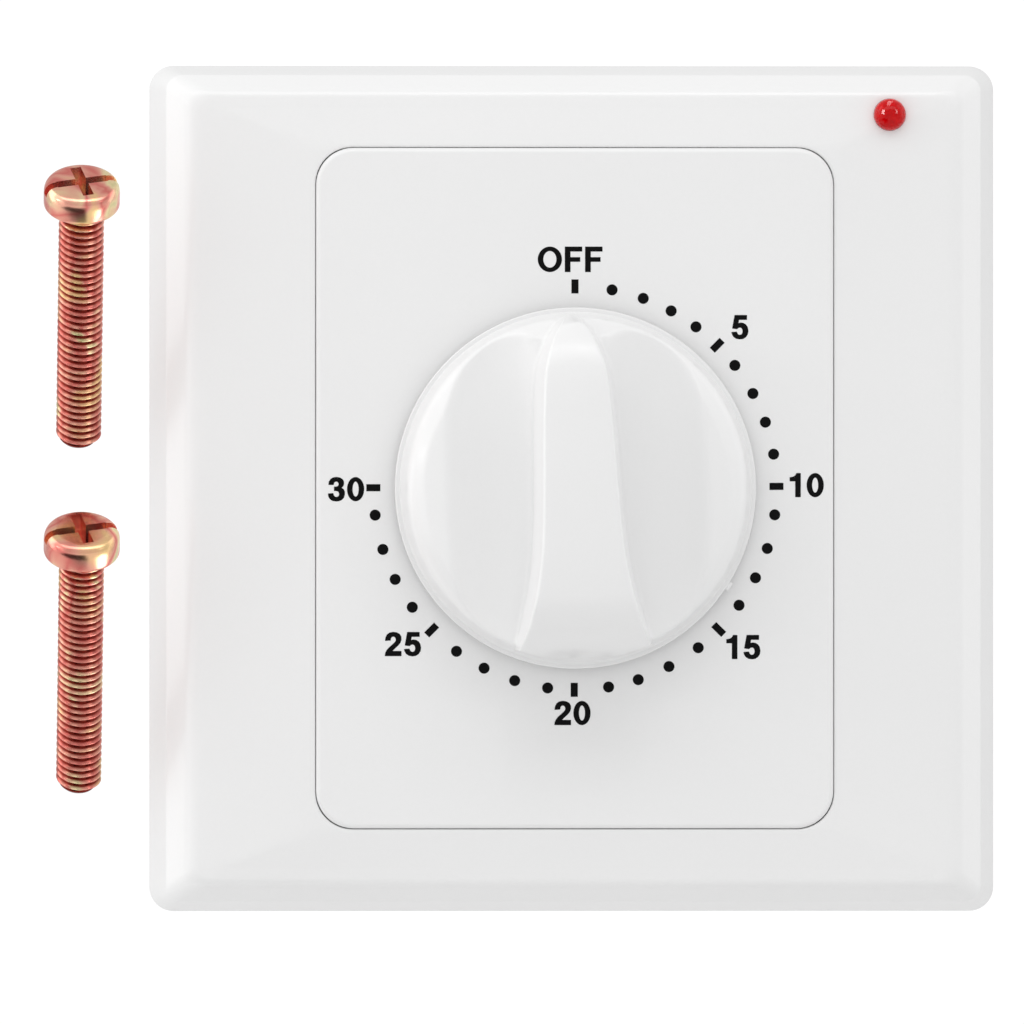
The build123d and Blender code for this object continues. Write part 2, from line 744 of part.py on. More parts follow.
# Main arbor: D-end for the knob, collar behind the great wheel and rear pivot
arbor_shoulder = cage_back + slip_fit
flat_back = knob_back - flat_run_out
main_arbor = rod(0, 0, arbor_radius, arbor_shoulder, flat_back)
main_arbor += rod(0, 0, rear_pivot_radius, arbor_tail, arbor_shoulder)
main_arbor += rod(0, 0, collar_radius, collar_back, great_back)
rest_turn = Rot(0, 0, knob_rest)
flat_level = arbor_radius - flat_depth
main_arbor += slab(rest_turn * flatted(arbor_radius, flat_level), flat_back, arbor_front)
save(main_arbor, "main_arbor")


def gear(teeth, module, phase):
    # Involute gear with stub teeth, one of them centred on the phase angle
    radius = module * teeth / 2
    base = radius * cos(radians(pressure_angle))
    root = radius - tooth_root_share * module
    tip = radius + tooth_height_share * module
    half_thick = (pi * module / 2 - backlash) / 2 / radius
    rolled = tan(radians(pressure_angle)) - radians(pressure_angle)

    def half_angle(at):
        turn = acos(min(1, base / at))
        return degrees(half_thick + rolled - tan(turn) + turn)

    start = max(base, root)
    flank = [start, (start + radius) / 2, radius, (radius + tip) / 2, tip]
    if root < base:
        flank = [root] + flank
    points = []
    for tooth in range(teeth):
        middle = phase + full_turn * tooth / teeth
        points += [on_circle(at, middle - half_angle(max(at, base))) for at in flank]
        points += [on_circle(at, middle + half_angle(max(at, base))) for at in reversed(flank)]
    return outline_of(points)


def pitch_angle(teeth):
    return full_turn / teeth


def pierced(outline, radius, bore):
    # Wheel disc with its bore and a ring of lightening holes
    outline -= Circle(bore)
    for hole in range(spoke_holes):
        place = on_circle(radius * spoke_circle_share, full_turn * hole / spoke_holes)
        outline -= Pos(*place) * Circle(radius * spoke_hole_share)
    return outline


def meshed_pinion(own_place, driver_place, module):
    # Pinion turned so that one of its spaces takes the tooth that its driver points at it
    towards = bearing(own_place, driver_place)
    return gear(pinion_teeth, module, towards + pitch_angle(pinion_teeth) / 2)


# Great wheel, driven by the arbor through a spring washer
great_outline = gear(great_teeth, drive_module, second_angle)
great_radius = drive_module * great_teeth / 2
save(slab(pierced(great_outline, great_radius, arbor_radius), great_back, great_front), "great_wheel")
save(slab(Circle(washer_radius) - Circle(arbor_radius), great_front, washer_front), "clutch_washer")


def train_wheel(place, driver, driver_module, pinion_front, disc_front, thickness, outline, radius):
    # One moulding: pinion in front, toothed disc behind, on its own steel pin
    disc_back = disc_front - thickness
    pinion = meshed_pinion(place, driver, driver_module) - Circle(pin_radius)
    moulding = slab(pinion, disc_front, pinion_front)
    moulding += slab(outline, disc_back, disc_front)
    return Pos(place[0], 0, place[1]) * moulding


def wheel_disc(teeth, place, follower):
    radius = train_module * teeth / 2
    return pierced(gear(teeth, train_module, bearing(place, follower)), radius, pin_radius), radius


def arbor_pin(place, radius):
    # Steel pin with a thinner pivot at each end
    x, z = place
    pin = rod(x, z, radius, arbor_shoulder, cage_front - slip_fit)
    return pin + rod(x, z, pivot_radius, cage_rear, cage_face)


second_disc, second_radius = wheel_disc(wheel_teeth, second_place, third_place)
second_wheel = train_wheel(
    second_place, (0, 0), drive_module, great_front + pinion_lead / 2,
    second_wheel_front, wheel_thickness, second_disc, second_radius,
)
save(second_wheel, "second_wheel")
save(arbor_pin(second_place, pin_radius), "second_arbor")
third_disc, third_radius = wheel_disc(wheel_teeth, third_place, fourth_place)
third_wheel = train_wheel(
    third_place, second_place, train_module, second_wheel_front + pinion_lead,
    third_wheel_front, wheel_thickness, third_disc, third_radius,
)
save(third_wheel, "third_wheel")
save(arbor_pin(third_place, pin_radius), "third_arbor")
fourth_disc, fourth_radius = wheel_disc(fourth_teeth, fourth_place, escape_place)
fourth_wheel = train_wheel(
    fourth_place, third_place, train_module, third_wheel_front + pinion_lead,
    fourth_wheel_front, wheel_thickness, fourth_disc, fourth_radius,
)
save(fourth_wheel, "fourth_wheel")
save(arbor_pin(fourth_place, pin_radius), "fourth_arbor")

# Escape wheel: pointed teeth, set so that both pallet pins stand in gaps
to_pallet = bearing(escape_place, pallet_place)
escape_pitch = pitch_angle(escape_teeth)
escape_phase = to_pallet + pallet_half_span + escape_pitch / 4
escape_points = []
for tooth in range(escape_teeth):
    middle = escape_phase + escape_pitch * tooth
    escape_points.append(on_circle(escape_radius - escape_tooth_depth, middle - escape_pitch / 2))
    escape_points.append(on_circle(escape_radius, middle - escape_tip_angle))
    escape_points.append(on_circle(escape_radius, middle + escape_tip_angle))
escape_outline = outline_of(escape_points) - Circle(pin_radius)
escape_wheel = train_wheel(
    escape_place, fourth_place, train_module, fourth_wheel_front + pinion_lead,
    escape_wheel_front, escape_thickness, escape_outline, escape_radius,
)
save(escape_wheel, "escape_wheel")
save(arbor_pin(escape_place, pin_radius), "escape_arbor")

# Regulator: lever with two pallet pins, on its arbor with the inertia bar
pallet_reach = escape_radius + pallet_pin_radius + pallet_clearance
lever = Pos(*pallet_place) * Circle(pallet_hub_radius)
pallet_pins = []
for side in (-1, 1):
    reach_x, reach_z = on_circle(pallet_reach, to_pallet + side * pallet_half_span)
    end = (escape_place[0] + reach_x, escape_place[1] + reach_z)
    middle_x, middle_z = (end[0] + pallet_place[0]) / 2, (end[1] + pallet_place[1]) / 2
    length = hypot(end[0] - pallet_place[0], end[1] - pallet_place[1])
    arm = Rot(0, 0, bearing(pallet_place, end)) * SlotCenterToCenter(length, pallet_arm)
    lever += Pos(middle_x, middle_z) * arm
    pallet_pins.append(rod(end[0], end[1], pallet_pin_radius, pallet_front, pallet_pin_front))
pallet_lever = slab(lever - Pos(*pallet_place) * Circle(pallet_arbor_radius), pallet_back, pallet_front)
for pin in pallet_pins:
    pallet_lever += pin
save(pallet_lever, "pallet_lever")
save(arbor_pin(pallet_place, pallet_arbor_radius), "pallet_arbor")
inertia_angle = bearing(pallet_place, escape_place) + inertia_lean
inertia = Rot(0, 0, inertia_angle) * SlotOverall(2 * inertia_half_length, inertia_width)
inertia = Pos(*pallet_place) * (inertia - Circle(pallet_arbor_radius))
save(slab(inertia, inertia_front - inertia_thickness, inertia_front), "inertia_bar")

# Mainspring: one open spiral strip from the arbor to the post
spring_count = spring_turns * spring_point_count
spring_start = post_angle - full_turn * spring_turns
spring_growth = (spring_outer - arbor_radius) / spring_count
inner_side = []
outer_side = []
for i in range(spring_count + 1):
    angle = spring_start + full_turn * i / spring_point_count
    at = arbor_radius + spring_growth * i
    inner_side.append(on_circle(at, angle))
    outer_side.append(on_circle(at + spring_strip, angle))
mainspring = slab(outline_of(inner_side + outer_side[::-1]), spring_back, spring_front)
mainspring -= rod(0, 0, arbor_radius + running_fit, spring_back - overrun, spring_front + overrun)
save(mainspring, "mainspring")
save(rod(post_x, post_z, post_radius, cage_rear, spring_front), "spring_post")

# Switch cam: round with one notch that lets the contacts open at OFF
cam_low = cam_radius - cam_notch_depth
notch = [
    (0, 0),
    on_circle(cam_radius + overrun, -90 - cam_notch_half_angle),
    on_circle(cam_radius + overrun, -90 + cam_notch_half_angle),
]
cam_outline = Circle(cam_radius) - (outline_of(notch) - Circle(cam_low)) - Circle(rear_pivot_radius)
save(slab(cam_outline, cam_back, cam_front), "timing_cam")


def strip(points, thickness):
    # A bent metal strip of even width whose middle line is given
    path = Polyline(*points)
    return slab(trace(path, thickness), strip_back, strip_front)


# Contacts: a leaf with a follower bend over a fixed bracket
foot_level = terminal_top + leaf_thickness / 2
riser_x = terminal_spacing + riser_offset
follower_tip = -cam_low - follower_gap
leaf_level = follower_tip - follower_height
leaf_under = leaf_level - leaf_thickness / 2
bracket_top = leaf_under - 2 * rivet_height - contact_gap
bracket_level = bracket_top - bracket_thickness / 2
leaf_end = rivet_x + leaf_overhang
leaf_path = [
    (-riser_x + contact_foot, foot_level),
    (-riser_x, foot_level),
    (-riser_x, leaf_level),
    (-follower_half_width, leaf_level),
    (0, follower_tip),
    (follower_half_width, leaf_level),
    (leaf_end, leaf_level),
]
save(strip(leaf_path, leaf_thickness), "contact_leaf")
bracket_foot = terminal_top + bracket_thickness / 2
bracket_path = [
    (riser_x - contact_foot, bracket_foot),
    (riser_x, bracket_foot),
    (riser_x, bracket_level),
    (rivet_x - rivet_radius - bracket_thickness, bracket_level),
]
save(strip(bracket_path, bracket_thickness), "contact_bracket")
strip_middle = (strip_front + strip_back) / 2
rivet = Cylinder(rivet_radius, rivet_height)
moving_rivet = Pos(rivet_x, -strip_middle, leaf_under - rivet_height / 2) * rivet
fixed_rivet = Pos(rivet_x, -strip_middle, bracket_top + rivet_height / 2) * rivet
save(moving_rivet, "contact_rivet_moving")
save(fixed_rivet, "contact_rivet_fixed")

# Terminals: brass blocks with a wire bore from below and a clamp screw from behind
terminal_names = ("left", "middle", "right")
for name, x in zip(terminal_names, terminal_places):
    block_face = Pos(x, terminal_middle) * Rectangle(terminal_width, terminal_height)
    block = slab(block_face, floor_front, terminal_front)
    bore_length = terminal_height - terminal_end
    bore_middle = tub_inner_bottom + bore_length / 2
    wire_bore = Cylinder(wire_bore_radius, bore_length + overrun)
    block -= Pos(x, -wire_bore_height, bore_middle - overrun / 2) * wire_bore
    thread_radius = terminal_screw_radius + running_fit
    block -= rod(x, terminal_middle, thread_radius, floor_front - overrun, wire_bore_height)
    save(block, "terminal_" + name)
    screw = slotted_screw(
        x, terminal_middle, terminal_head_back, terminal_head_back + terminal_head, terminal_screw_tip,
        terminal_head_radius, terminal_screw_radius, terminal_slot, small_screw_slot_depth,
    )
    save(screw, "terminal_screw_" + name)

# Knob: flanged skirt with a domed top, two hollows and a grip bar
wall_top_radius = knob_radius - wall_top_inset
shoulder_radius = knob_radius - shoulder_inset
ridge_radius = knob_radius - ridge_inset
dome_ring = [
    (0, 0),
    (knob_radius, 0),
    (knob_radius, lip_thickness),
    (knob_radius - lip_step, lip_thickness),
    (wall_top_radius, wall_top_height),
]
skirt_arc = ThreePointArc(
    (wall_top_radius, wall_top_height), (shoulder_radius, shoulder_height), (ridge_radius, ridge_height)
)
dome_arc = Spline(
    [(ridge_radius, ridge_height), (0, dome_height)],
    tangents=[skirt_arc % 1, (-1, 0)],
)
knob_profile = make_face([*Polyline(*dome_ring).edges(), skirt_arc, dome_arc, Line((0, dome_height), (0, 0))])
# The profile's second axis points to the room once it is stood on the panel
knob_axis_plane = Plane(origin=(0, -knob_back, 0), x_dir=(1, 0, 0), z_dir=(0, 0, 1))
knob_body = revolve(knob_axis_plane * mirror(knob_profile, about=Plane.XZ), axis=Axis.Y)
scoop_reach = 2 * (knob_radius + overrun)
scoop_centre = knob_back + scoop_floor + scoop_radius
for side in (-1, 1):
    knob_body -= Pos(side * scoop_x, -scoop_centre, 0) * Cylinder(scoop_radius, scoop_reach)
bar_stations = [share * knob_radius for share in station_shares]
bar_half_widths = [share * bar_half_width for share in half_width_shares]
right_side = list(zip(bar_half_widths, bar_stations))
left_side = [(-half_width, station) for half_width, station in right_side]
bar_curve = Spline(left_side[:0:-1] + right_side)
bar_plan = make_face([bar_curve, Line(right_side[-1], left_side[-1])])
bar_block = slab(bar_plan, knob_back + bar_foot, knob_back + knob_radius)
back_line = [(nose_foot_share * knob_radius, bar_foot)]
for place_share, height_share in zip(back_place_shares, back_height_shares):
    back_line.append((place_share * knob_radius, height_share * bar_height))
back_line.append((tail_foot_share * knob_radius, bar_foot))
bar_side = make_face([Spline(back_line), Line(back_line[-1], back_line[0])])
side_plane = Plane(origin=(-knob_radius, -knob_back, 0), x_dir=(0, 0, 1), z_dir=(1, 0, 0))
bar_prism = extrude(side_plane * bar_side, amount=2 * knob_radius)
bar_round = rod(0, 0, knob_radius - lip_step, knob_back, knob_back + knob_radius)
knob_body += bar_block & bar_prism & bar_round
hollow = Circle(wall_top_radius - skirt_thickness) - Circle(hub_outer_radius)
knob_body -= slab(hollow, knob_back - overrun, knob_back + cavity_depth)
knob_body += slab(Circle(hub_outer_radius), knob_back - hub_foot, knob_back)
socket = flatted(arbor_radius + running_fit, flat_level + running_fit)
knob_body -= slab(socket, knob_back - overrun, bore_top)
nub_x, nub_z = on_circle(knob_radius, nub_angle)
nub = Pos(nub_x, nub_z) * (Rot(0, 0, nub_angle) * Rectangle(2 * nub_reach, nub_width))
knob_body += slab(nub, knob_back, knob_back + nub_thickness)
knob = Rot(0, -knob_rest, 0) * knob_body
save(knob, "knob")

# Lamp: red dome on a small board, with leads and a series resistor
lamp_shoulder = lamp_flange_front + lamp_neck
lamp = rod(lamp_x, lamp_z, lamp_flange_radius, lamp_flange_back, lamp_flange_front)
lamp += rod(lamp_x, lamp_z, lamp_radius, lamp_flange_front, lamp_shoulder)
lamp += Pos(lamp_x, -lamp_shoulder, lamp_z) * Sphere(lamp_radius)
save(lamp, "led_body")
for name, side in (("left", -1), ("right", 1)):
    lead_place = Pos(lamp_x + side * lead_spacing / 2, lamp_z)
    save(slab(lead_place * Rectangle(lead_side, lead_side), web_front, lamp_flange_back), "led_lead_" + name)
resistor_x = lamp_x - resistor_offset
resistor_z = lamp_z - resistor_drop
board_width = board_left + board_right
board_height = board_below + board_above
board_place = Pos(lamp_x + (board_right - board_left) / 2, lamp_z + (board_above - board_below) / 2)
board = board_place * Rectangle(board_width, board_height)
for side in (-1, 1):
    board -= Pos(lamp_x + side * lead_spacing / 2, lamp_z) * Rectangle(lead_side, lead_side)
    board -= Pos(resistor_x + side * resistor_lead_span / 2, resistor_z) * Circle(resistor_lead_radius)
save(slab(board, web_front, board_front), "led_board")
resistor_height = board_front + resistor_radius
lead_points = [
    (resistor_x - resistor_lead_span / 2, -web_front, resistor_z),
    (resistor_x - resistor_lead_span / 2, -resistor_height, resistor_z),
    (resistor_x + resistor_lead_span / 2, -resistor_height, resistor_z),
    (resistor_x + resistor_lead_span / 2, -web_front, resistor_z),
]
lead_path = FilletPolyline(*lead_points, radius=resistor_lead_bend)
lead_start = Plane(origin=lead_path @ 0, z_dir=lead_path % 0)
resistor = sweep(lead_start * Circle(resistor_lead_radius), path=lead_path)
resistor += Pos(resistor_x, -resistor_height, resistor_z) * (
    Rot(0, 90, 0) * Cylinder(resistor_radius, resistor_length)
)
save(resistor, "led_resistor")


def fixing_screw():
    # Pan-head machine screw along Z, head up, with a cross and a slot in its head
    turns = ceil((fixing_length - fixing_plain - fixing_tip) / fixing_pitch) - 1
    points = [(0, 0), (fixing_root_radius, 0), (fixing_root_radius, -fixing_plain)]
    for i in range(turns):
        start = -fixing_plain - i * fixing_pitch
        points.append((fixing_radius, start - fixing_pitch / 2))
        points.append((fixing_root_radius, start - fixing_pitch))
    points.append((fixing_root_radius, -fixing_length + fixing_tip))
    points.append((fixing_root_radius - fixing_tip / 2, -fixing_length))
    points.append((0, -fixing_length))
    shank = revolve(Plane.XZ * outline_of(points), axis=Axis.Z)
    head = Pos(0, 0, fixing_head / 2) * Cylinder(fixing_head_radius, fixing_head)
    head = fillet(head.edges().group_by(Axis.Z)[-1], fixing_head_round)
    head = fillet(head.edges().group_by(Axis.Z)[0], fixing_head_foot_round)
    lift = fixing_head - fixing_slot_depth
    head -= Pos(0, 0, lift + overrun) * Box(2 * fixing_head_radius + overrun, fixing_slot_width, 2 * overrun)
    for length, width in ((cross_length, cross_width), (cross_width, cross_length)):
        head -= Pos(0, 0, fixing_head - cross_depth + overrun) * Box(length, width, 2 * overrun)
    return head + shank


# Loose fixing screws beside the plate, leaning towards the viewer
fixing_x = -half_plate - fixing_offset
for name, drop in (("upper", 0), ("lower", fixing_drop)):
    place = Pos(fixing_x, -fixing_forward, fixing_upper_z - drop)
    save(place * (Rot(fixing_lean, 0, 0) * Rot(0, 0, fixing_turn) * fixing_screw()), "fixing_screw_" + name)
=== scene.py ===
import json
from math import atan2, cos, hypot, pi, radians, sin, sqrt

import bmesh
import bpy
from mathutils import Matrix, Vector


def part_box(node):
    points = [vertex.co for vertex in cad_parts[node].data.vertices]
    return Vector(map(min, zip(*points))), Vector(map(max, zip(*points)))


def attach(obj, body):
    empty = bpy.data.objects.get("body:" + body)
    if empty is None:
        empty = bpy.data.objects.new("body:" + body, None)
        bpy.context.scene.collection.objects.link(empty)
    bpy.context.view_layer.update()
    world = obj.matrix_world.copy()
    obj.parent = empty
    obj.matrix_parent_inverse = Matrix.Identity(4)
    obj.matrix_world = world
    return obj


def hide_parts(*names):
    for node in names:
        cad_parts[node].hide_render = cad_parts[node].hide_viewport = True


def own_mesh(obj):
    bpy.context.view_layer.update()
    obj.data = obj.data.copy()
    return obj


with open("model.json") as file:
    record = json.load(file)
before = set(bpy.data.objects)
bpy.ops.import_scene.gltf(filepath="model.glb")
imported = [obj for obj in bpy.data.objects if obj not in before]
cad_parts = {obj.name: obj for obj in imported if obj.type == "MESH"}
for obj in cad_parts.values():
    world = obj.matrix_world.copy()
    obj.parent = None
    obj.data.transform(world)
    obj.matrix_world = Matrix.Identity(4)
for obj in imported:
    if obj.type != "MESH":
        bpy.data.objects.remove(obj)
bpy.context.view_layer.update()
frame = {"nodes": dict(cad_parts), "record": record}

bl_info = {
    "name": "Timer light switch",
    "version": (1, 0, 0),
    "blender": (4, 5, 0),
    "location": "View3D > Sidebar > Timer switch",
    "description": "Makes the visible pieces and finishes of a mechanical countdown light switch",
    "category": "Object",
}

MM = 0.001
MERGE = 1e-6
SENSOR = 36.0
PLASTIC, METAL = "moulded surface", "worked metal"

# Steps across the crowned face, round the window's edge, over the lens and round the floor
FACE_STEPS, WINDOW_STEPS, LENS_STEPS, FLOOR_SIDES = 24, 5, 20, 128
# Steps along the knob, and from its middle over the bar's back, edge and flank to the rim
KNOB_ROWS, BACK_STEPS, EDGE_STEPS, FLANK_STEPS, DOME_STEPS, SHOULDER_STEPS = 260, 8, 7, 5, 26, 24
# Stretches over which a fixing screw's thread rises and fades, length and inset of its point
THREAD_RISE, THREAD_FADE, POINT_LENGTH, POINT_INSET = 0.9 * MM, 0.7 * MM, 0.8 * MM, 0.35 * MM
# How much the thread's ridges are stretched and sunk, which leaves crests and grooves flat
RIDGE_STRETCH, RIDGE_SUNK = 1.3, 0.1
# Share of the thread's depth, from the root, below which the groove gets the full painted shade, how far the
# rims of the head's dome reach down and in, and how much bright film shows through the painted shade inside
# the recess
GROOVE_SHADE_SHARE, DOME_DOWN, DOME_IN, RECESS_SHADE = 0.35, 0.6 * MM, 1.6 * MM, 0.15
# Radii of small edges
FOOT_ROUND, CLIP_ROUND, NUB_ROUND = 0.3 * MM, 0.2 * MM, 0.1 * MM
LENS_ROUNDS = (0, 0.1 * MM, 0.15 * MM, 0.1 * MM, 0)
KNOB_WALL_ROUNDS = (0, 0.12 * MM, 0.16 * MM, 0.14 * MM, 0, 0, 0, 0, 0, 0, 0)
# Where the knob's wall starts, out of the dome's foot and below it
WALL_OUT, WALL_DOWN = 0.03 * MM, 0.3 * MM
# Place of the dome's second point, and falls of its second and fourth between their neighbours
NEAR_PLACE, NEAR_FALL, MIDDLE_FALL = 0.7, 0.35, 0.36
# Width of the frame's foot on the wall, and heights of the helpers that cut holes and slots
FOOT_WIDTH, HOLE_HELPER, SLOT_HELPER = 0.35 * MM, 12 * MM, 2 * MM
# Angles from which an edge is shaded sharp
PLAIN_SHARP, FRAME_SHARP, SCREW_SHARP, THREAD_SHARP, KNOB_SHARP = 35.0, 30.0, 40.0, 50.0, 70.0

# Grip bar: places along it as shares of the knob's radius, half widths as shares of the
# bar's half width, and the back line's heights as shares of the bar's height
STATION_SHARES = (
    -0.962, -0.880, -0.738, -0.519, -0.295, -0.071, 0.262,
    0.437, 0.650, 0.760, 0.842, 0.902, 0.940, 0.967,
)
HALF_WIDTH_SHARES = (
    1.882, 1.726, 1.487, 1.232, 1.084, 1.018, 0.95,
    0.908, 0.816, 0.671, 0.508, 0.316, 0.163, 0.0,
)
BACK_PLACE_SHARES = (
    -0.956, -0.934, -0.874, -0.765, -0.601, -0.273, 0.109,
    0.437, 0.560, 0.660, 0.760, 0.840, 0.890, 0.912, 0.967,
)
BACK_HEIGHT_SHARES = (
    0.162, 0.392, 0.622, 0.811, 0.919, 0.980, 1.0,
    0.986, 0.973, 0.953, 0.912, 0.851, 0.790, 0.730, 0.162,
)

SIDES = ("left", "middle", "right")
CORNERS = ("lower_left", "lower_right", "upper_left", "upper_right")


def number(name, words, value, **more):
    return bpy.props.FloatProperty(name=name, description=words, default=value, **more)


def length(name, words, value):
    return number(name, words, value * MM, unit="LENGTH", precision=5)


def angular(name, words, degrees):
    return number(name, words, radians(degrees), subtype="ANGLE")


def tint(name, words, value):
    return bpy.props.FloatVectorProperty(
        name=name, description=words, default=value, subtype="COLOR", size=3, min=0, max=1
    )


class PlateSizes(bpy.types.PropertyGroup):
    half_side: length("Half side", "Half the plate's side at the wall", 43.0)
    corner: length("Corner", "Corner radius at the wall", 2.5)
    rim_inset: length("Rim inset", "How far the rim leans in", 1.6)
    rim_height: length("Rim height", "Height of the rim off the wall", 5.6)
    bevel_inset: length("Bevel inset", "Inner edge of the bevelled band", 4.1)
    bevel_height: length("Bevel height", "Height of the bevelled band's inner edge", 8.1)
    bevel_corner: length("Bevel corner", "Corner radius of the bevelled band", 1.8)
    crown_inset: length("Crown inset", "Where the crowned face starts", 6.6)
    crown_edge: length("Crown edge", "Height where the crowned face starts", 8.27)
    crown_height: length("Crown height", "Height of the face at the window", 8.9)
    edge_round: length("Edge round", "Radius where the rim meets the bevelled band", 0.8)
    band_round: length("Band round", "Radius where the bevelled band meets the face", 2.9)
    band_share: number("Band share", "Width of the top and bottom bands against the side ones", 0.66)
    window_half_width: length("Window half width", "Half width of the window", 26.30)
    window_half_height: length("Window half height", "Half height of the window", 34.55)
    window_corner: length("Window corner", "Corner radius of the window", 3.73)
    window_round: length("Window round", "Radius on the window's edge", 0.25)
    crease: length("Crease", "Softness of the mitre creases", 0.05)
    ceiling: length("Ceiling", "Height of the hollow's ceiling", 6.6)
    ceiling_inset: length("Ceiling inset", "Outer edge of the ceiling", 5.8)
    hollow_height: length("Hollow height", "Height where the hollow's wall breaks", 5.0)
    hollow_inset: length("Hollow inset", "Inset where the hollow's wall breaks", 3.6)
    wall: length("Wall", "Wall thickness at the foot", 2.0)
    hollow_corner: length("Hollow corner", "Corner radius of the hollow", 1.2)
    clip_inner: length("Clip inner face", "Distance of the clips' inner face from the middle", 39.6)
    clip_thickness: length("Clip thickness", "Thickness of a clip", 1.2)
    clip_width: length("Clip width", "Width of a clip", 9.0)
    clip_place: length("Clip place", "Distance of each clip from the side's middle", 15.0)
    clip_foot: length("Clip foot", "Gap between a clip and the wall", 0.6)
    clip_top: length("Clip top", "Height where a clip ends", 5.6)


class LampSizes(bpy.types.PropertyGroup):
    x: length("Place X", "Place of the lamp to the right of the middle", 32.0)
    z: length("Place Z", "Place of the lamp above the middle", 37.9)
    radius: length("Radius", "Radius of the lens", 1.63)
    flange: length("Flange radius", "Radius of the flange", 1.9)
    flange_back: length("Flange back", "Height of the flange's back", 4.9)
    flange_front: length("Flange front", "Height of the flange's front", 5.9)
    shoulder: length("Shoulder", "Height where the dome starts", 8.6)
    hole: length("Hole radius", "Radius of the hole in the plate", 1.65)
    counterbore: length("Counterbore radius", "Radius of the hole's wider back", 2.1)
    counterbore_height: length("Counterbore height", "Where the wider back ends", 6.1)


class KnobSizes(bpy.types.PropertyGroup):
    radius: length("Radius", "Radius of the flange", 18.3)
    back: length("Back", "Height of the knob's foot off the wall", 10.0)
    lip_step: length("Lip step", "Width of the lip round the wall", 0.5)
    lip_thickness: length("Lip thickness", "Thickness of the lip", 0.8)
    rim_inset: length("Rim inset", "Inset of the dome's foot", 0.8)
    rim_height: length("Rim height", "Height of the dome's foot", 3.0)
    shoulder_inset: length("Shoulder inset", "Inset of the shoulder", 1.15)
    shoulder_height: length("Shoulder height", "Height of the shoulder", 5.0)
    ridge_inset: length("Ridge inset", "Inset of the ridge", 3.0)
    ridge_height: length("Ridge height", "Height of the ridge", 6.5)
    dome_height: length("Dome height", "Height of the dome's middle", 7.3)
    scoop_x: length("Scoop place", "Distance of the hollows from the middle", 8.3)
    scoop_radius: length("Scoop radius", "Radius of the hollows", 7.0)
    scoop_floor: length("Scoop floor", "Height of the hollows' floor", 4.9)
    blend: length("Blend", "Softness where surfaces meet", 0.5)
    bar_half_width: length("Bar half width", "Half width that the bar's shares scale", 3.8)
    bar_height: length("Bar height", "Height of the bar's back", 14.8)
    bar_edge: length("Bar edge", "Radius on the bar's edges", 0.42)
    bar_crown: length("Bar crown", "How much the bar's back is domed across", 0.12)
    draft_share: number("Draft", "How far the bar's flanks lean out for each unit of height", 0.085)
    skirt: length("Skirt", "Wall thickness of the skirt", 1.3)
    hollow: length("Hollow", "Depth of the hollow underneath", 3.2)
    hub: length("Hub radius", "Outer radius of the hub", 5.5)
    hub_foot: length("Hub foot", "How far the hub stands below the foot", 0.5)
    bore: length("Bore radius", "Radius of the bore", 3.05)
    bore_flat: length("Bore flat", "Distance of the bore's flat from the axis", 2.25)
    bore_depth: length("Bore depth", "Depth of the bore", 10.2)
    nub_width: length("Nub width", "Width of the moulding nub", 0.9)
    nub_reach: length("Nub reach", "How far the nub stands out", 0.35)
    nub_thickness: length("Nub thickness", "Thickness of the nub", 0.6)
    nub_angle: angular("Nub angle", "Angle of the moulding nub", -35.0)
    rest: angular("Rest angle", "Lean of the bar at OFF", 2.4)


class ScrewSizes(bpy.types.PropertyGroup):
    radius: length("Radius", "Outer radius of the thread", 2.3)
    root: length("Root radius", "Root radius of the thread", 1.92)
    pitch: length("Pitch", "Pitch of the thread", 0.78)
    shank: length("Length", "Length under the head", 28.4)
    head_radius: length("Head radius", "Radius of the head", 3.85)
    head: length("Head height", "Height of the head", 2.9)
    head_round: length("Head round", "Radius on the head's edge", 1.5)
    head_foot_round: length("Head foot round", "Radius under the head's edge", 0.45)
    slot_width: length("Slot width", "Width of the straight slot", 0.9)
    slot_depth: length("Slot depth", "Depth of the straight slot", 1.1)
    cross_width: length("Cross width", "Width of the cross's arms", 1.1)
    cross_length: length("Cross length", "Length of the cross's arms", 5.2)
    cross_depth: length("Cross depth", "Depth of the cross", 1.9)
    x: length("Place X", "Place of the screws beside the plate", -50.2)
    forward: length("Forward", "Height of the heads off the wall", 18.5)
    upper_z: length("Upper place", "Height of the upper screw's neck", 28.5)
    drop: length("Drop", "Distance from the upper to the lower screw", 35.05)
    lean: angular("Lean", "Lean of the screws towards the viewer", 34.0)
    turn: angular("Turn", "Turn of the cross round the screw", 14.0)


class FinishColours(bpy.types.PropertyGroup):
    white: tint("White", "Moulded plastic of the plate, panel and knob", (0.86, 0.86, 0.86))
    ink: tint("Ink", "Printed scale", (0.003, 0.003, 0.0033))
    lens: tint("Lens", "Lamp's lens", (0.52, 0.0006, 0.002))
    grey: tint("Grey", "Plastic of the hidden housings", (0.62, 0.62, 0.60))
    brass: tint("Brass", "Stamped plates", (0.74, 0.56, 0.25))
    zinc: tint("Yellow zinc", "Gold of the film on the passivated screws", (0.92, 0.62, 0.30))


class StageSizes(bpy.types.PropertyGroup):
    aim_x: length("Aim X", "Point that the camera looks at, X", -6.05)
    aim_z: length("Aim Z", "Point that the camera looks at, Z", -2.39)
    lens: number("Lens", "Focal length in millimetres", 900.0)
    frame_width: length("Frame width", "Width that the picture takes in", 104.17)
    azimuth: angular("Azimuth", "Turn of the camera round the object", -2.1)
    elevation: angular("Elevation", "Height angle of the camera", -0.2)
    floor_drop: length("Floor drop", "Distance of the floor below the middle", 110.0)
    floor_radius: length("Floor radius", "Radius of the floor", 600.0)


GROUPS = {
    "switch_plate": PlateSizes,
    "switch_lamp": LampSizes,
    "switch_knob": KnobSizes,
    "switch_screws": ScrewSizes,
    "switch_finish": FinishColours,
    "switch_stage": StageSizes,
}


# Curves and outlines


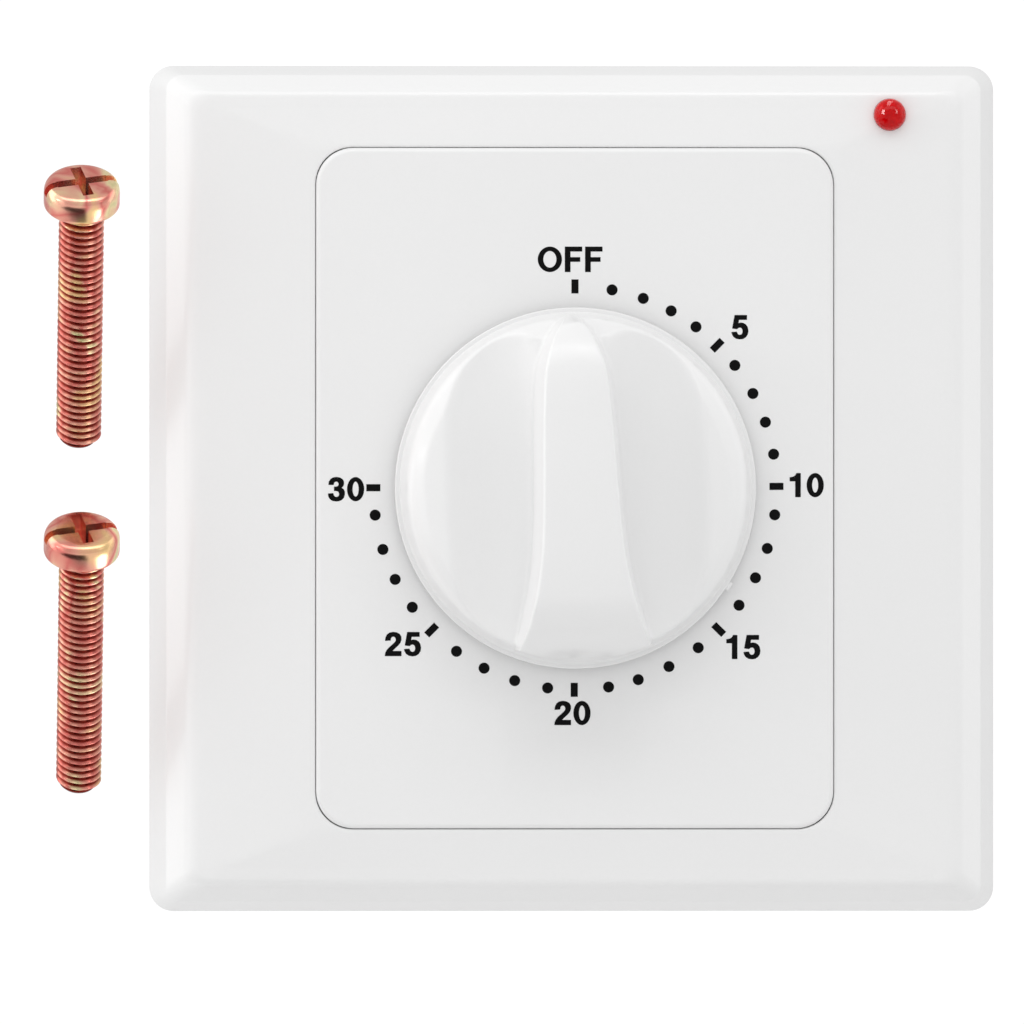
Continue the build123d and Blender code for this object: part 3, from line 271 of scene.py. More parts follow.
def along(places, values, at):
    """Smooth value at a place in a table, without overshoot."""
    if at <= places[0]:
        return values[0]
    if at >= places[-1]:
        return values[-1]
    count = len(places)
    steps = [places[i + 1] - places[i] for i in range(count - 1)]
    slopes = [(values[i + 1] - values[i]) / steps[i] for i in range(count - 1)]
    i = next(n for n in range(count - 1) if at <= places[n + 1])

    def slope(n):
        if n == 0:
            return slopes[0]
        if n == count - 1:
            return slopes[-1]
        before, after = slopes[n - 1], slopes[n]
        if before * after <= 0:
            return 0.0
        return 2 * before * after / (before + after)

    t = (at - places[i]) / steps[i]
    bend = values[i] * (1 + 2 * t) * (1 - t) ** 2 + values[i + 1] * t * t * (3 - 2 * t)
    return bend + steps[i] * (slope(i) * t * (1 - t) ** 2 - slope(i + 1) * t * t * (1 - t))


def soft_min(a, b, softness):
    gap = max(softness - abs(a - b), 0) / softness
    return min(a, b) - gap * gap * softness / 4


def shares(count):
    """The ends of equal steps from 0 to 1."""
    return [step / count for step in range(1, count + 1)]


def circle(radius, sides):
    angles = [2 * pi * i / sides for i in range(sides)]
    return [(radius * cos(angle), radius * sin(angle)) for angle in angles]


def softened(points, radii, steps=6):
    """A line of points with each inner corner rounded by an arc of its radius."""
    line = [points[0]]
    for i in range(1, len(points) - 1):
        corner = Vector(points[i])
        back = Vector(points[i - 1]) - corner
        on = Vector(points[i + 1]) - corner
        radius = radii[i]
        if radius <= 0:
            line.append(points[i])
            continue
        half = back.angle(on) / 2
        reach = min(radius * cos(half) / sin(half), back.length * 0.45, on.length * 0.45)
        start = corner + back.normalized() * reach
        end = corner + on.normalized() * reach
        for step in range(steps + 1):
            t = step / steps
            point = start * (1 - t) ** 2 + corner * 2 * t * (1 - t) + end * t * t
            line.append(tuple(point))
    line.append(points[-1])
    return line


def rounded_ring(half_width, half_height, corner, per_corner=10, per_side=12):
    """Points of a rectangle with rounded corners, always as many and in the same order."""
    ring = []
    for turn, (sx, sz) in enumerate(((1, 1), (-1, 1), (-1, -1), (1, -1))):
        centre_x = sx * (half_width - corner)
        centre_z = sz * (half_height - corner)
        for step in range(per_corner + 1):
            angle = pi / 2 * (turn + step / per_corner)
            ring.append((centre_x + corner * cos(angle), centre_z + corner * sin(angle)))
        straight = 2 * (half_width - corner) if turn % 2 == 0 else 2 * (half_height - corner)
        angle = pi / 2 * (turn + 1)
        x, z = ring[-1]
        for step in range(1, per_side):
            shift = straight * step / per_side
            ring.append((x - shift * sin(angle), z + shift * cos(angle)))
    return ring


# Meshes and pieces


def placed(name, data):
    """A new object in the scene."""
    piece = bpy.data.objects.new(name, data)
    bpy.context.scene.collection.objects.link(piece)
    return piece


def plain_piece(name, verts, faces):
    mesh = bpy.data.meshes.new(name)
    mesh.from_pydata(verts, [], faces)
    return placed(name, mesh)


def written(tidy, mesh):
    tidy.to_mesh(mesh)
    tidy.free()
    return mesh


def piece_from(name, verts, faces, sharp=PLAIN_SHARP):
    """A new mesh piece with merged points, outward faces and smooth shading."""
    piece = plain_piece(name, verts, faces)
    tidy = bmesh.new()
    tidy.from_mesh(piece.data)
    bmesh.ops.remove_doubles(tidy, verts=tidy.verts, dist=MERGE)
    bmesh.ops.dissolve_degenerate(tidy, edges=tidy.edges, dist=MERGE / 10)
    bmesh.ops.recalc_face_normals(tidy, faces=tidy.faces)
    written(tidy, piece.data)
    return shaded(piece, sharp)


def shaded(piece, sharp=PLAIN_SHARP):
    piece.data.polygons.foreach_set("use_smooth", [True] * len(piece.data.polygons))
    piece.data.set_sharp_from_angle(angle=radians(sharp))
    return piece


def band_faces(one, other):
    """Faces between two closed lines of points."""
    return [(one[j - 1], one[j], other[j], other[j - 1]) for j in range(len(one))]


def ring_faces(rings, count):
    """Faces between successive rings of points."""
    lines = [range(i * count, (i + 1) * count) for i in range(rings)]
    return [face for one, other in zip(lines, lines[1:]) for face in band_faces(one, other)]


def cut(piece, cutters):
    """Takes the cutters out of a piece and keeps the result as its mesh."""
    for cutter in cutters:
        change = piece.modifiers.new("cut", "BOOLEAN")
        change.operation = "DIFFERENCE"
        change.solver = "EXACT"
        change.object = cutter
    settled(piece, cutters)


def settled(piece, spent=()):
    """Turns a piece's modifiers into a plain mesh and drops the helpers."""
    graph = bpy.context.evaluated_depsgraph_get()
    mesh = bpy.data.meshes.new_from_object(piece.evaluated_get(graph))
    piece.modifiers.clear()
    piece.data = mesh
    for helper in spent:
        bpy.data.objects.remove(helper)


def drum(name, x, z, radius, back, front, sides=64):
    """A round helper whose axis runs off the wall."""
    verts = [(x + a, -height, z + b) for height in (back, front) for a, b in circle(radius, sides)]
    faces = ring_faces(2, sides)
    faces += [tuple(range(sides))[::-1], tuple(range(sides, 2 * sides))]
    return piece_from(name, verts, faces)


def block(name, size, place, edge=0.0):
    """A box, with rounded edges where asked for."""
    tidy = bmesh.new()
    bmesh.ops.create_cube(tidy, size=1)
    bmesh.ops.scale(tidy, vec=size, verts=tidy.verts)
    if edge:
        bmesh.ops.bevel(tidy, geom=tidy.edges[:], offset=edge, segments=3, affect="EDGES", profile=0.5)
    bmesh.ops.transform(tidy, matrix=place, verts=tidy.verts)
    return shaded(placed(name, written(tidy, bpy.data.meshes.new(name))))


def joined(main, extras):
    """Adds the meshes of other pieces to a piece."""
    tidy = bmesh.new()
    tidy.from_mesh(main.data)
    for extra in extras:
        tidy.from_mesh(extra.data)
        bpy.data.objects.remove(extra)
    written(tidy, main.data)


def smooth_copy(solid, name):
    """A merged, smoothly shaded copy of a solid."""
    tidy = bmesh.new()
    tidy.from_mesh(frame["nodes"][solid].data)
    bmesh.ops.remove_doubles(tidy, verts=tidy.verts, dist=MERGE)
    return shaded(placed(name, written(tidy, bpy.data.meshes.new(name))), FRAME_SHARP)


def finish_of(slot):
    return bpy.data.materials[slot.replace("_", " ")]


def fitted(piece, slot, body, *nodes):
    """Gives a finished piece its finish, its body and the solids it stands for."""
    piece.data.materials.clear()
    piece.data.materials.append(finish_of(slot))
    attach(piece, body)
    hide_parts(*nodes)


# Finishes


def feed(tree, made, **inputs):
    """Sets or links a node's inputs; an underscore in a label stands for a space."""
    for label, value in inputs.items():
        socket = made.inputs[label.replace("_", " ")]
        if isinstance(value, bpy.types.NodeSocket):
            tree.links.new(value, socket)
        else:
            socket.default_value = value


def node(tree, kind, **inputs):
    made = tree.nodes.new(kind)
    feed(tree, made, **inputs)
    return made


def surface_group(name, **numbers):
    """An empty node group with number inputs, a mask output and a height output."""
    tree = bpy.data.node_groups.new(name, "ShaderNodeTree")
    for label, value in numbers.items():
        socket = tree.interface.new_socket(
            label.replace("_", " "), in_out="INPUT", socket_type="NodeSocketFloat"
        )
        socket.default_value = value
    for label in ("Mask", "Height"):
        tree.interface.new_socket(label, in_out="OUTPUT", socket_type="NodeSocketFloat")
    return tree, node(tree, "NodeGroupInput").outputs, node(tree, "NodeGroupOutput")


def noise_in(tree, source, scale, detail, roughness):
    noise = node(
        tree, "ShaderNodeTexNoise", Vector=source, Scale=scale, Detail=detail, Roughness=roughness
    )
    return noise.outputs["Fac"]


def maths(tree, operation, first, second):
    made = node(tree, "ShaderNodeMath")
    made.operation = operation
    for socket, value in zip(made.inputs, (first, second)):
        if isinstance(value, bpy.types.NodeSocket):
            tree.links.new(value, socket)
        else:
            socket.default_value = value
    return made.outputs[0]


def colour_ramp(tree, source, *stops):
    """Colours at their places along a number; the first two stops bound the others."""
    ramp = node(tree, "ShaderNodeValToRGB", Fac=source)
    elements = ramp.color_ramp.elements
    for i, (place, colour) in enumerate(stops):
        stop = elements[i] if i < 2 else elements.new(place)
        stop.position, stop.color = place, (*colour, 1)
    return ramp.outputs[0]


def moulded_surface():
    """Moulded plastic: slow sink waviness and a fine skin."""
    tree, given, out = surface_group(PLASTIC, Wave_Scale=60.0, Skin_Scale=2500.0, Skin=0.3)
    place = node(tree, "ShaderNodeTexCoord").outputs["Object"]
    wave = noise_in(tree, place, given["Wave Scale"], 2.0, 0.4)
    skin = noise_in(tree, place, given["Skin Scale"], 3.0, 0.6)
    feed(
        tree, out, Mask=maths(tree, "MULTIPLY", maths(tree, "ADD", wave, skin), 0.5),
        Height=maths(tree, "ADD", maths(tree, "MULTIPLY", skin, given["Skin"]), wave),
    )


def worked_metal():
    """Rolled or turned metal: stretched grain and faint blotches."""
    tree, given, out = surface_group(METAL, Grain_Scale=900.0, Stretch=0.06, Blotch_Scale=150.0)
    place = node(tree, "ShaderNodeTexCoord").outputs["Object"]
    x, y, z = node(tree, "ShaderNodeSeparateXYZ", Vector=place).outputs
    stretched = node(tree, "ShaderNodeCombineXYZ", X=maths(tree, "MULTIPLY", x, given["Stretch"]), Y=y, Z=z)
    grain = noise_in(tree, stretched.outputs[0], given["Grain Scale"], 3.0, 0.6)
    blotch = noise_in(tree, place, given["Blotch Scale"], 3.0, 0.5)
    feed(tree, out, Mask=maths(tree, "MULTIPLY", maths(tree, "ADD", grain, blotch), 0.5), Height=grain)


def textured(name, group, rough, bump, reach=0.02, metallic=0.0, coat=0.0, **values):
    """A finish whose roughness and bump vary by a surface group, with its tree, shader and mask."""
    material = bpy.data.materials.new(name)
    material.use_nodes = True
    tree = material.node_tree
    surface = node(tree, "ShaderNodeGroup")
    surface.node_tree = bpy.data.node_groups[group]
    feed(tree, surface, **values)
    mask, height = surface.outputs["Mask"], surface.outputs["Height"]
    spread = node(tree, "ShaderNodeMapRange", Value=mask, To_Min=rough[0], To_Max=rough[1])
    relief = node(tree, "ShaderNodeBump", Strength=bump, Distance=reach * MM, Height=height)
    shader = tree.nodes["Principled BSDF"]
    feed(
        tree, shader, Roughness=spread.outputs["Result"], Normal=relief.outputs[0],
        Metallic=metallic, Coat_Weight=coat, Coat_Roughness=0.14,
    )
    return material, tree, shader, mask


def dressed(name, colour, group, low, high, rough, bump, **more):
    """A textured finish whose colour varies with the mask, from low to high times itself."""
    material, tree, shader, mask = textured(name, group, rough, bump, **more)
    dark = [part * low for part in colour]
    pale = [min(1, part * high) for part in colour]
    feed(tree, shader, Base_Color=colour_ramp(tree, mask, (0.3, dark), (0.7, pale)))
    return material


def yellow_zinc(gold):
    """Passivated zinc: a film from gold through pink to green, under a painted shade of dark copper red in
    the grooves and the recess.
    """
    _, tree, shader, _ = textured(
        "yellow zinc", METAL, (0.16, 0.3), 0.15, metallic=1.0,
        Grain_Scale=700.0, Stretch=1.0, Blotch_Scale=260.0,
    )
    place = node(tree, "ShaderNodeTexCoord").outputs["Object"]
    film = node(tree, "ShaderNodeTexNoise", Vector=place, Scale=190.0, Detail=2.0, Distortion=0.8)
    pink, rose = (0.88, 0.41, 0.31), (0.74, 0.20, 0.17)
    green, straw = (0.60, 0.62, 0.30), (0.94, 0.76, 0.44)
    shine = colour_ramp(
        tree, film.outputs["Fac"],
        (0.3, gold), (0.72, green), (0.42, pink), (0.5, rose), (0.58, pink), (0.65, straw),
    )
    # Painted shade: the crest mark mixes dark copper red into the thread's grooves and the cross recess
    crest = node(tree, "ShaderNodeAttribute")
    crest.attribute_name = "crest"
    groove_shade = node(tree, "ShaderNodeMix")
    groove_shade.data_type = "RGBA"
    feed(tree, groove_shade, Factor=crest.outputs["Fac"], A=(0.19, 0.02, 0.013, 1), B=shine)
    feed(tree, shader, Base_Color=groove_shade.outputs["Result"])


def red_lens(colour):
    """Tinted resin lens: deep red body under a clear skin."""
    tree = dressed(
        "red lens", colour, PLASTIC, 0.8, 1.3, (0.03, 0.07), 0.03, Wave_Scale=900.0, Skin_Scale=4000.0
    ).node_tree
    feed(
        tree, tree.nodes["Principled BSDF"], Specular_IOR_Level=0.2, Subsurface_Weight=0.12,
        Subsurface_Radius=(0.001, 0.0001, 0.0001), Subsurface_Scale=0.5,
    )


def make_finishes(colours):
    """One finish for each material slot, named after it."""
    moulded_surface()
    worked_metal()
    wave = {"Wave_Scale": 45.0, "Skin_Scale": 3000.0, "Skin": 0.12}
    plastics = (
        ("white frame", colours.white, 0.99, 1.01, (0.26, 0.34), 0.05, {"coat": 0.25, **wave}),
        ("white panel", colours.white, 0.99, 1.01, (0.32, 0.4), 0.05, {"coat": 0.1, **wave}),
        ("white knob", colours.white, 0.99, 1.01, (0.26, 0.34), 0.04, {"coat": 0.2, **wave}),
        ("black ink", colours.ink, 0.8, 1.4, (0.5, 0.65), 0.1, {"reach": 0.01, "Skin_Scale": 6000.0}),
        ("grey plastic", colours.grey, 0.95, 1.04, (0.45, 0.6), 0.3, {"reach": 0.04, "Skin": 0.8}),
        ("cam plastic", (0.80, 0.79, 0.72), 0.96, 1.03, (0.35, 0.45), 0.1, {}),
        ("train plastic", (0.76, 0.70, 0.56), 0.95, 1.04, (0.35, 0.45), 0.1, {}),
        ("resistor paint", (0.58, 0.42, 0.24), 0.9, 1.1, (0.3, 0.4), 0.1, {}),
    )
    metals = (
        ("plate brass", colours.brass, 0.85, 1.1, (0.25, 0.42), 0.15, {}),
        ("terminal brass", (0.78, 0.62, 0.32), 0.88, 1.1, (0.2, 0.35), 0.15, {"Stretch": 1.0}),
        ("steel", (0.56, 0.57, 0.58), 0.85, 1.12, (0.22, 0.38), 0.12, {"Stretch": 1.0}),
        ("spring steel", (0.13, 0.17, 0.30), 0.8, 1.3, (0.2, 0.35), 0.1, {}),
        ("contact bronze", (0.66, 0.42, 0.24), 0.88, 1.12, (0.25, 0.4), 0.12, {}),
        ("contact silver", (0.82, 0.81, 0.79), 0.9, 1.08, (0.16, 0.3), 0.1, {"reach": 0.01, "Stretch": 1.0}),
    )
    for group, rows in ((PLASTIC, plastics), (METAL, metals)):
        for name, colour, low, high, rough, bump, more in rows:
            dressed(name, colour, group, low, high, rough, bump, metallic=float(group == METAL), **more)
    dressed(
        "board laminate", (0.45, 0.27, 0.10), METAL, 0.8, 1.2, (0.5, 0.65), 0.3, reach=0.03, Stretch=0.3
    )
    ink = finish_of("black_ink").node_tree
    feed(ink, ink.nodes["Principled BSDF"], Specular_IOR_Level=0.08)
    yellow_zinc(colours.zinc)
    red_lens(colours.lens)


class SWITCH_OT_finishes(bpy.types.Operator):
    """Make the finishes and give each hidden solid its own"""

    bl_idname = "timer_switch.finishes"
    bl_label = "Finishes"

    def execute(self, context):
        make_finishes(context.scene.switch_finish)
        slots = {part["node"]: part["material_slot"] for part in frame["record"]["subparts"]}
        for name, solid in frame["nodes"].items():
            solid.data.materials.clear()
            solid.data.materials.append(finish_of(slots[name]))
        return {"FINISHED"}


# Front frame


def crown_at(sizes, x, z):
    """Height of the crowned face over a place."""
    rise = sizes.crown_height - sizes.crown_edge

    def one_way(at, inset, window):
        edge = sizes.half_side - inset
        return sizes.crown_edge + rise * min(1.0, max(0.0, (edge - abs(at)) / (edge - window)))

    over_x = one_way(x, sizes.crown_inset, sizes.window_half_width)
    over_z = one_way(z, sizes.crown_inset * sizes.band_share, sizes.window_half_height)
    return soft_min(over_x, over_z, sizes.crease)


class SWITCH_OT_frame(bpy.types.Operator):
    """Make the front frame with its bevelled band, crowned face and clips"""

    bl_idname = "timer_switch.frame"
    bl_label = "Front frame"

    def execute(self, context):
        sizes = context.scene.switch_plate
        lamp = context.scene.switch_lamp
        half = sizes.half_side

        def outline(inset, corner):
            return rounded_ring(half - inset, half - inset * sizes.band_share, corner)

        outside = [
            (FOOT_WIDTH, 0.0), (0.0, 0.0), (sizes.rim_inset, sizes.rim_height),
            (sizes.bevel_inset, sizes.bevel_height), (sizes.crown_inset, sizes.crown_edge),
        ]
        rim_corner = sizes.corner - sizes.rim_inset / 2
        rings = []
        for inset, height in softened(outside, [0, FOOT_ROUND, sizes.edge_round, sizes.band_round, 0]):
            corner = sizes.corner - inset / 2
            if inset >= sizes.rim_inset:
                share = (inset - sizes.rim_inset) / (sizes.bevel_inset - sizes.rim_inset)
                corner = rim_corner + (sizes.bevel_corner - rim_corner) * min(share, 1)
            rings.append([(x, -height, z) for x, z in outline(inset, corner)])
        first = outline(sizes.crown_inset, sizes.bevel_corner)
        window = (sizes.window_half_width, sizes.window_half_height, sizes.window_corner)
        wall = rounded_ring(*window)
        last = rounded_ring(*(size + sizes.window_round for size in window))
        for t in shares(FACE_STEPS):
            face = [(ax + (bx - ax) * t, az + (bz - az) * t) for (ax, az), (bx, bz) in zip(first, last)]
            rings.append([(x, -crown_at(sizes, x, z), z) for x, z in face])
        edge = rings[-1]
        for t in shares(WINDOW_STEPS):
            down, over = sizes.window_round * (1 - cos(pi / 2 * t)), 1 - sin(pi / 2 * t)
            rings.append([
                (x + (ox - x) * over, oy + down, z + (oz - z) * over)
                for (ox, oy, oz), (x, z) in zip(edge, wall)
            ])
        rings.append([(x, -sizes.ceiling, z) for x, z in wall])
        for inset, height in (
            (sizes.ceiling_inset, sizes.ceiling), (sizes.hollow_inset, sizes.hollow_height), (sizes.wall, 0.0)
        ):
            ring = rounded_ring(half - inset, half - inset, sizes.hollow_corner)
            rings.append([(x, -height, z) for x, z in ring])
        rings.append(rings[0])
        verts = [point for ring in rings for point in ring]
        plate = piece_from("front_plate_cover", verts, ring_faces(len(rings), len(first)))
        through = drum("lamp_way", lamp.x, lamp.z, lamp.hole, 0, HOLE_HELPER)
        wide = drum("lamp_seat", lamp.x, lamp.z, lamp.counterbore, -MM, lamp.counterbore_height)
        cut(plate, [through, wide])
        middle = sizes.clip_inner + sizes.clip_thickness / 2
        height = (sizes.clip_foot + sizes.clip_top) / 2
        clip = (sizes.clip_thickness, sizes.clip_top - sizes.clip_foot, sizes.clip_width)
        clips = []
        for turn in range(4):
            for side in (-1, 1):
                place = Matrix.Translation((middle, -height, side * sizes.clip_place))
                place = Matrix.Rotation(pi / 2 * turn, 4, "Y") @ place
                clips.append(block("clip", clip, place, CLIP_ROUND))
        joined(plate, clips)
        shaded(plate, FRAME_SHARP)
        fitted(plate, "white_frame", "cover", "front_frame")
        return {"FINISHED"}


class SWITCH_OT_panel(bpy.types.Operator):
    """Make the dial panel with its softly rounded edge"""

    bl_idname = "timer_switch.panel"
    bl_label = "Dial panel"

    def execute(self, context):
        panel = smooth_copy("dial_panel", "dial_face")
        panel.modifiers.new("even shading", "WEIGHTED_NORMAL").keep_sharp = True
        settled(panel)
        fitted(panel, "white_panel", "base", "dial_panel")
        return {"FINISHED"}


# Knob


class KnobForm:
    """Heights of the knob over its foot, from its sizes."""

    def __init__(self, sizes):
        self.sizes = sizes
        radius = sizes.radius
        self.rim = radius - sizes.rim_inset
        self.ridge = radius - sizes.ridge_inset
        self.stations = [share * radius for share in STATION_SHARES]
        self.half_widths = [share * sizes.bar_half_width for share in HALF_WIDTH_SHARES]
        self.back_places = [share * radius for share in BACK_PLACE_SHARES]
        self.back_heights = [share * sizes.bar_height for share in BACK_HEIGHT_SHARES]
        shoulder = radius - sizes.shoulder_inset
        middle = sizes.ridge_height - (sizes.ridge_height - sizes.shoulder_height) * MIDDLE_FALL
        near = sizes.dome_height - (sizes.dome_height - sizes.ridge_height) * NEAR_FALL
        self.dome_places, self.dome_heights = zip(
            (0.0, sizes.dome_height), (self.ridge * NEAR_PLACE, near), (self.ridge, sizes.ridge_height),
            ((self.ridge + shoulder) / 2, middle), (shoulder, sizes.shoulder_height),
            (self.rim, sizes.rim_height),
        )

    def body(self, x, z):
        sizes = self.sizes
        dome = along(self.dome_places, self.dome_heights, hypot(x, z))
        off = abs(abs(x) - sizes.scoop_x)
        if off >= sizes.scoop_radius:
            return dome
        scoop = sizes.scoop_floor + sizes.scoop_radius - sqrt(sizes.scoop_radius ** 2 - off ** 2)
        return soft_min(dome, scoop, sizes.blend)

    def section(self, z):
        """Places and heights across the right half of the knob."""
        sizes = self.sizes
        half = along(self.stations, self.half_widths, z)
        top = along(self.back_places, self.back_heights, z)
        inside = self.stations[0] <= z <= self.stations[-1]
        rise = max(0.0, top - self.body(half, z)) if inside else 0.0
        edge = min(sizes.bar_edge, rise * 0.4, half * 0.5)
        foot = min(sizes.blend, rise * 0.4)
        line = []

        def add(x, height=None):
            """A point of the bar, or of the body where there is no bar."""
            line.append((x, self.body(x, z) if height is None or rise == 0 else height))

        for t in [0.0] + shares(BACK_STEPS):
            x = (half - edge) * t
            add(x, max(self.body(x, z), top - sizes.bar_crown * t ** 2))
        crest = line[-1][1]
        for t in shares(EDGE_STEPS):
            add(half - edge + edge * sin(pi / 2 * t), crest - edge * (1 - cos(pi / 2 * t)))
        low_x = half + rise * sizes.draft_share
        low = self.body(low_x, z) + foot
        start_x, start = line[-1]
        for t in shares(FLANK_STEPS):
            add(start_x + (low_x - start_x) * t, start + (low - start) * t)
        end_x = low_x + foot
        for t in shares(FLANK_STEPS):
            bend = low * (1 - t) ** 2 + self.body(low_x, z) * 2 * t * (1 - t) + self.body(end_x, z) * t * t
            add(low_x + foot * t * t, bend)
        inner = max(end_x, sqrt(max(0.0, self.ridge ** 2 - z ** 2)))
        for t in shares(DOME_STEPS):
            add(end_x + (inner - end_x) * t)
        for t in shares(SHOULDER_STEPS):
            ring = self.rim - (self.rim - self.ridge) * (1 - t) ** 1.6
            add(max(inner, sqrt(max(0.0, ring ** 2 - z ** 2))))
        return self.clipped(line, sqrt(max(0.0, self.rim ** 2 - z ** 2)))

    @staticmethod
    def clipped(line, reach):
        """Cuts a line off at its reach, and keeps the count of its points."""
        for i, (x, height) in enumerate(line):
            if x > reach:
                if i == 0:
                    return [(0.0, height)] * len(line)
                before_x, before = line[i - 1]
                share = (reach - before_x) / (x - before_x)
                end = (reach, before + (height - before) * share)
                return line[:i] + [end] * (len(line) - i)
        line[-1] = (reach, line[-1][1])
        return line


class SWITCH_OT_knob(bpy.types.Operator):
    """Make the knob: flange, dome with two hollows, and grip bar"""

    bl_idname = "timer_switch.knob"
    bl_label = "Knob"

    def execute(self, context):
        sizes = context.scene.switch_knob
        form = KnobForm(sizes)
        verts, faces, right, left = [], [], [], []
        for row in range(KNOB_ROWS + 1):
            z = form.rim * sin(pi * (row / KNOB_ROWS - 0.5))
            line = form.section(z)
            whole = [(-x, height) for x, height in line[:0:-1]] + line
            start = len(verts)
            verts += [(x, -sizes.back - height, z) for x, height in whole]
            width = len(whole)
            left.append(start)
            right.append(start + width - 1)
            if row:
                for j in range(width - 1):
                    faces.append((start - width + j, start - width + j + 1, start + j + 1, start + j))
        edge = right + left[-2:0:-1]
        inside = form.rim - sizes.skirt
        wall = [
            (form.rim + WALL_OUT, sizes.rim_height - WALL_DOWN),
            (sizes.radius - sizes.lip_step, sizes.lip_thickness), (sizes.radius, sizes.lip_thickness),
            (sizes.radius, 0.0), (inside, 0.0), (inside, sizes.hollow), (sizes.hub, sizes.hollow),
            (sizes.hub, -sizes.hub_foot), (sizes.bore, -sizes.hub_foot), (sizes.bore, sizes.bore_depth),
            (0.0, sizes.bore_depth),
        ]
        angles = [atan2(verts[i][2], verts[i][0]) for i in edge]
        before = edge
        for radius, height in softened(wall, KNOB_WALL_ROUNDS, 4):
            start = len(verts)
            for angle in angles:
                x, z = radius * cos(angle), radius * sin(angle)
                if radius <= sizes.bore + MERGE / 1000:
                    z = min(z, sizes.bore_flat)
                verts.append((x, -sizes.back - height, z))
            ring = range(start, len(verts))
            faces += band_faces(before, ring)
            before = ring
        knob = piece_from("knob_cap", verts, faces, KNOB_SHARP)
        nub_place = Matrix.Rotation(-sizes.nub_angle, 4, "Y") @ Matrix.Translation(
            (sizes.radius, -sizes.back - sizes.nub_thickness / 2, 0)
        )
        nub = block("nub", (2 * sizes.nub_reach, sizes.nub_thickness, sizes.nub_width), nub_place, NUB_ROUND)
        joined(knob, [nub])
        knob.data.transform(Matrix.Rotation(-sizes.rest, 4, "Y"))
        shaded(knob, KNOB_SHARP)
        fitted(knob, "white_knob", "knob", "knob")
        return {"FINISHED"}


# Lamp and screws


def turned(name, profile, place, sides=96):
    """A turned piece: radius and height along its own Z axis, put in place."""
    verts = [place @ Vector((a, b, height)) for radius, height in profile for a, b in circle(radius, sides)]
    return piece_from(name, verts, ring_faces(len(profile), sides))


class SWITCH_OT_lamp(bpy.types.Operator):
    """Make the red lamp's lens"""

    bl_idname = "timer_switch.lamp"
    bl_label = "Lamp"

    def execute(self, context):
        lamp = context.scene.switch_lamp
        outline = [
            (0, lamp.flange_back), (lamp.flange, lamp.flange_back), (lamp.flange, lamp.flange_front),
            (lamp.radius, lamp.flange_front), (lamp.radius, lamp.shoulder),
        ]
        profile = softened(outline, LENS_ROUNDS, 3)
        for t in shares(LENS_STEPS):
            profile.append((lamp.radius * cos(pi / 2 * t), lamp.shoulder + lamp.radius * sin(pi / 2 * t)))
        place = Matrix.Translation((lamp.x, 0, lamp.z)) @ Matrix.Rotation(pi / 2, 4, "X")
        lens = turned("lamp_lens", profile, place)
        fitted(lens, "red_lens", "base", "led_body")
        return {"FINISHED"}


def threaded_shank(name, sizes, place, sides=48):
    """Shank with a helical thread, from under the head to the point."""
    per_turn = 10
    rows = int(sizes.shank / sizes.pitch * per_turn)
    verts = []
    for row in range(rows + 1):
        depth = sizes.shank * row / rows
        left = sizes.shank - depth
        fade = max(0.0, min(1.0, depth / THREAD_RISE, left / THREAD_FADE))
        drawn_in = POINT_INSET * max(0.0, 1 - left / POINT_LENGTH)
        for i in range(sides):
            phase = (depth / sizes.pitch - i / sides) % 1.0
            ridge = min(1.0, max(0.0, RIDGE_STRETCH * (1 - abs(2 * phase - 1)) - RIDGE_SUNK))
            radius = sizes.root + (sizes.radius - sizes.root) * ridge * fade - drawn_in
            angle = 2 * pi * i / sides
            verts.append(place @ Vector((radius * cos(angle), radius * sin(angle), -depth)))
    tip, top = len(verts), len(verts) + 1
    verts += [place @ Vector((0, 0, -sizes.shank)), place @ Vector((0, 0, 0))]
    faces = ring_faces(rows + 1, sides)
    for j in range(sides):
        k = (j + 1) % sides
        faces += [(rows * sides + j, rows * sides + k, tip), (k, j, top)]
    return piece_from(name, verts, faces, THREAD_SHARP)


def mark_crests(piece, place, sizes):
    """Stores how far each point stands out of the grooves and the recess, which sets the painted shade there.
    """
    back = place.inverted()
    marks = piece.data.attributes.new("crest", "FLOAT", "POINT")
    for point, mark in zip(piece.data.vertices, marks.data):
        at = back @ point.co
        out = hypot(at.x, at.y)
        if at.z <= 0:
            share = (out - sizes.root) / (sizes.radius - sizes.root)
            mark.value = min(1.0, max(0.0, (share - GROOVE_SHADE_SHARE) / (1 - GROOVE_SHADE_SHARE)))
        else:
            dome = sizes.head - at.z < DOME_DOWN or out > sizes.head_radius - DOME_IN
            # Inside the recess the film gets most of the painted shade
            mark.value = 1.0 if dome else RECESS_SHADE


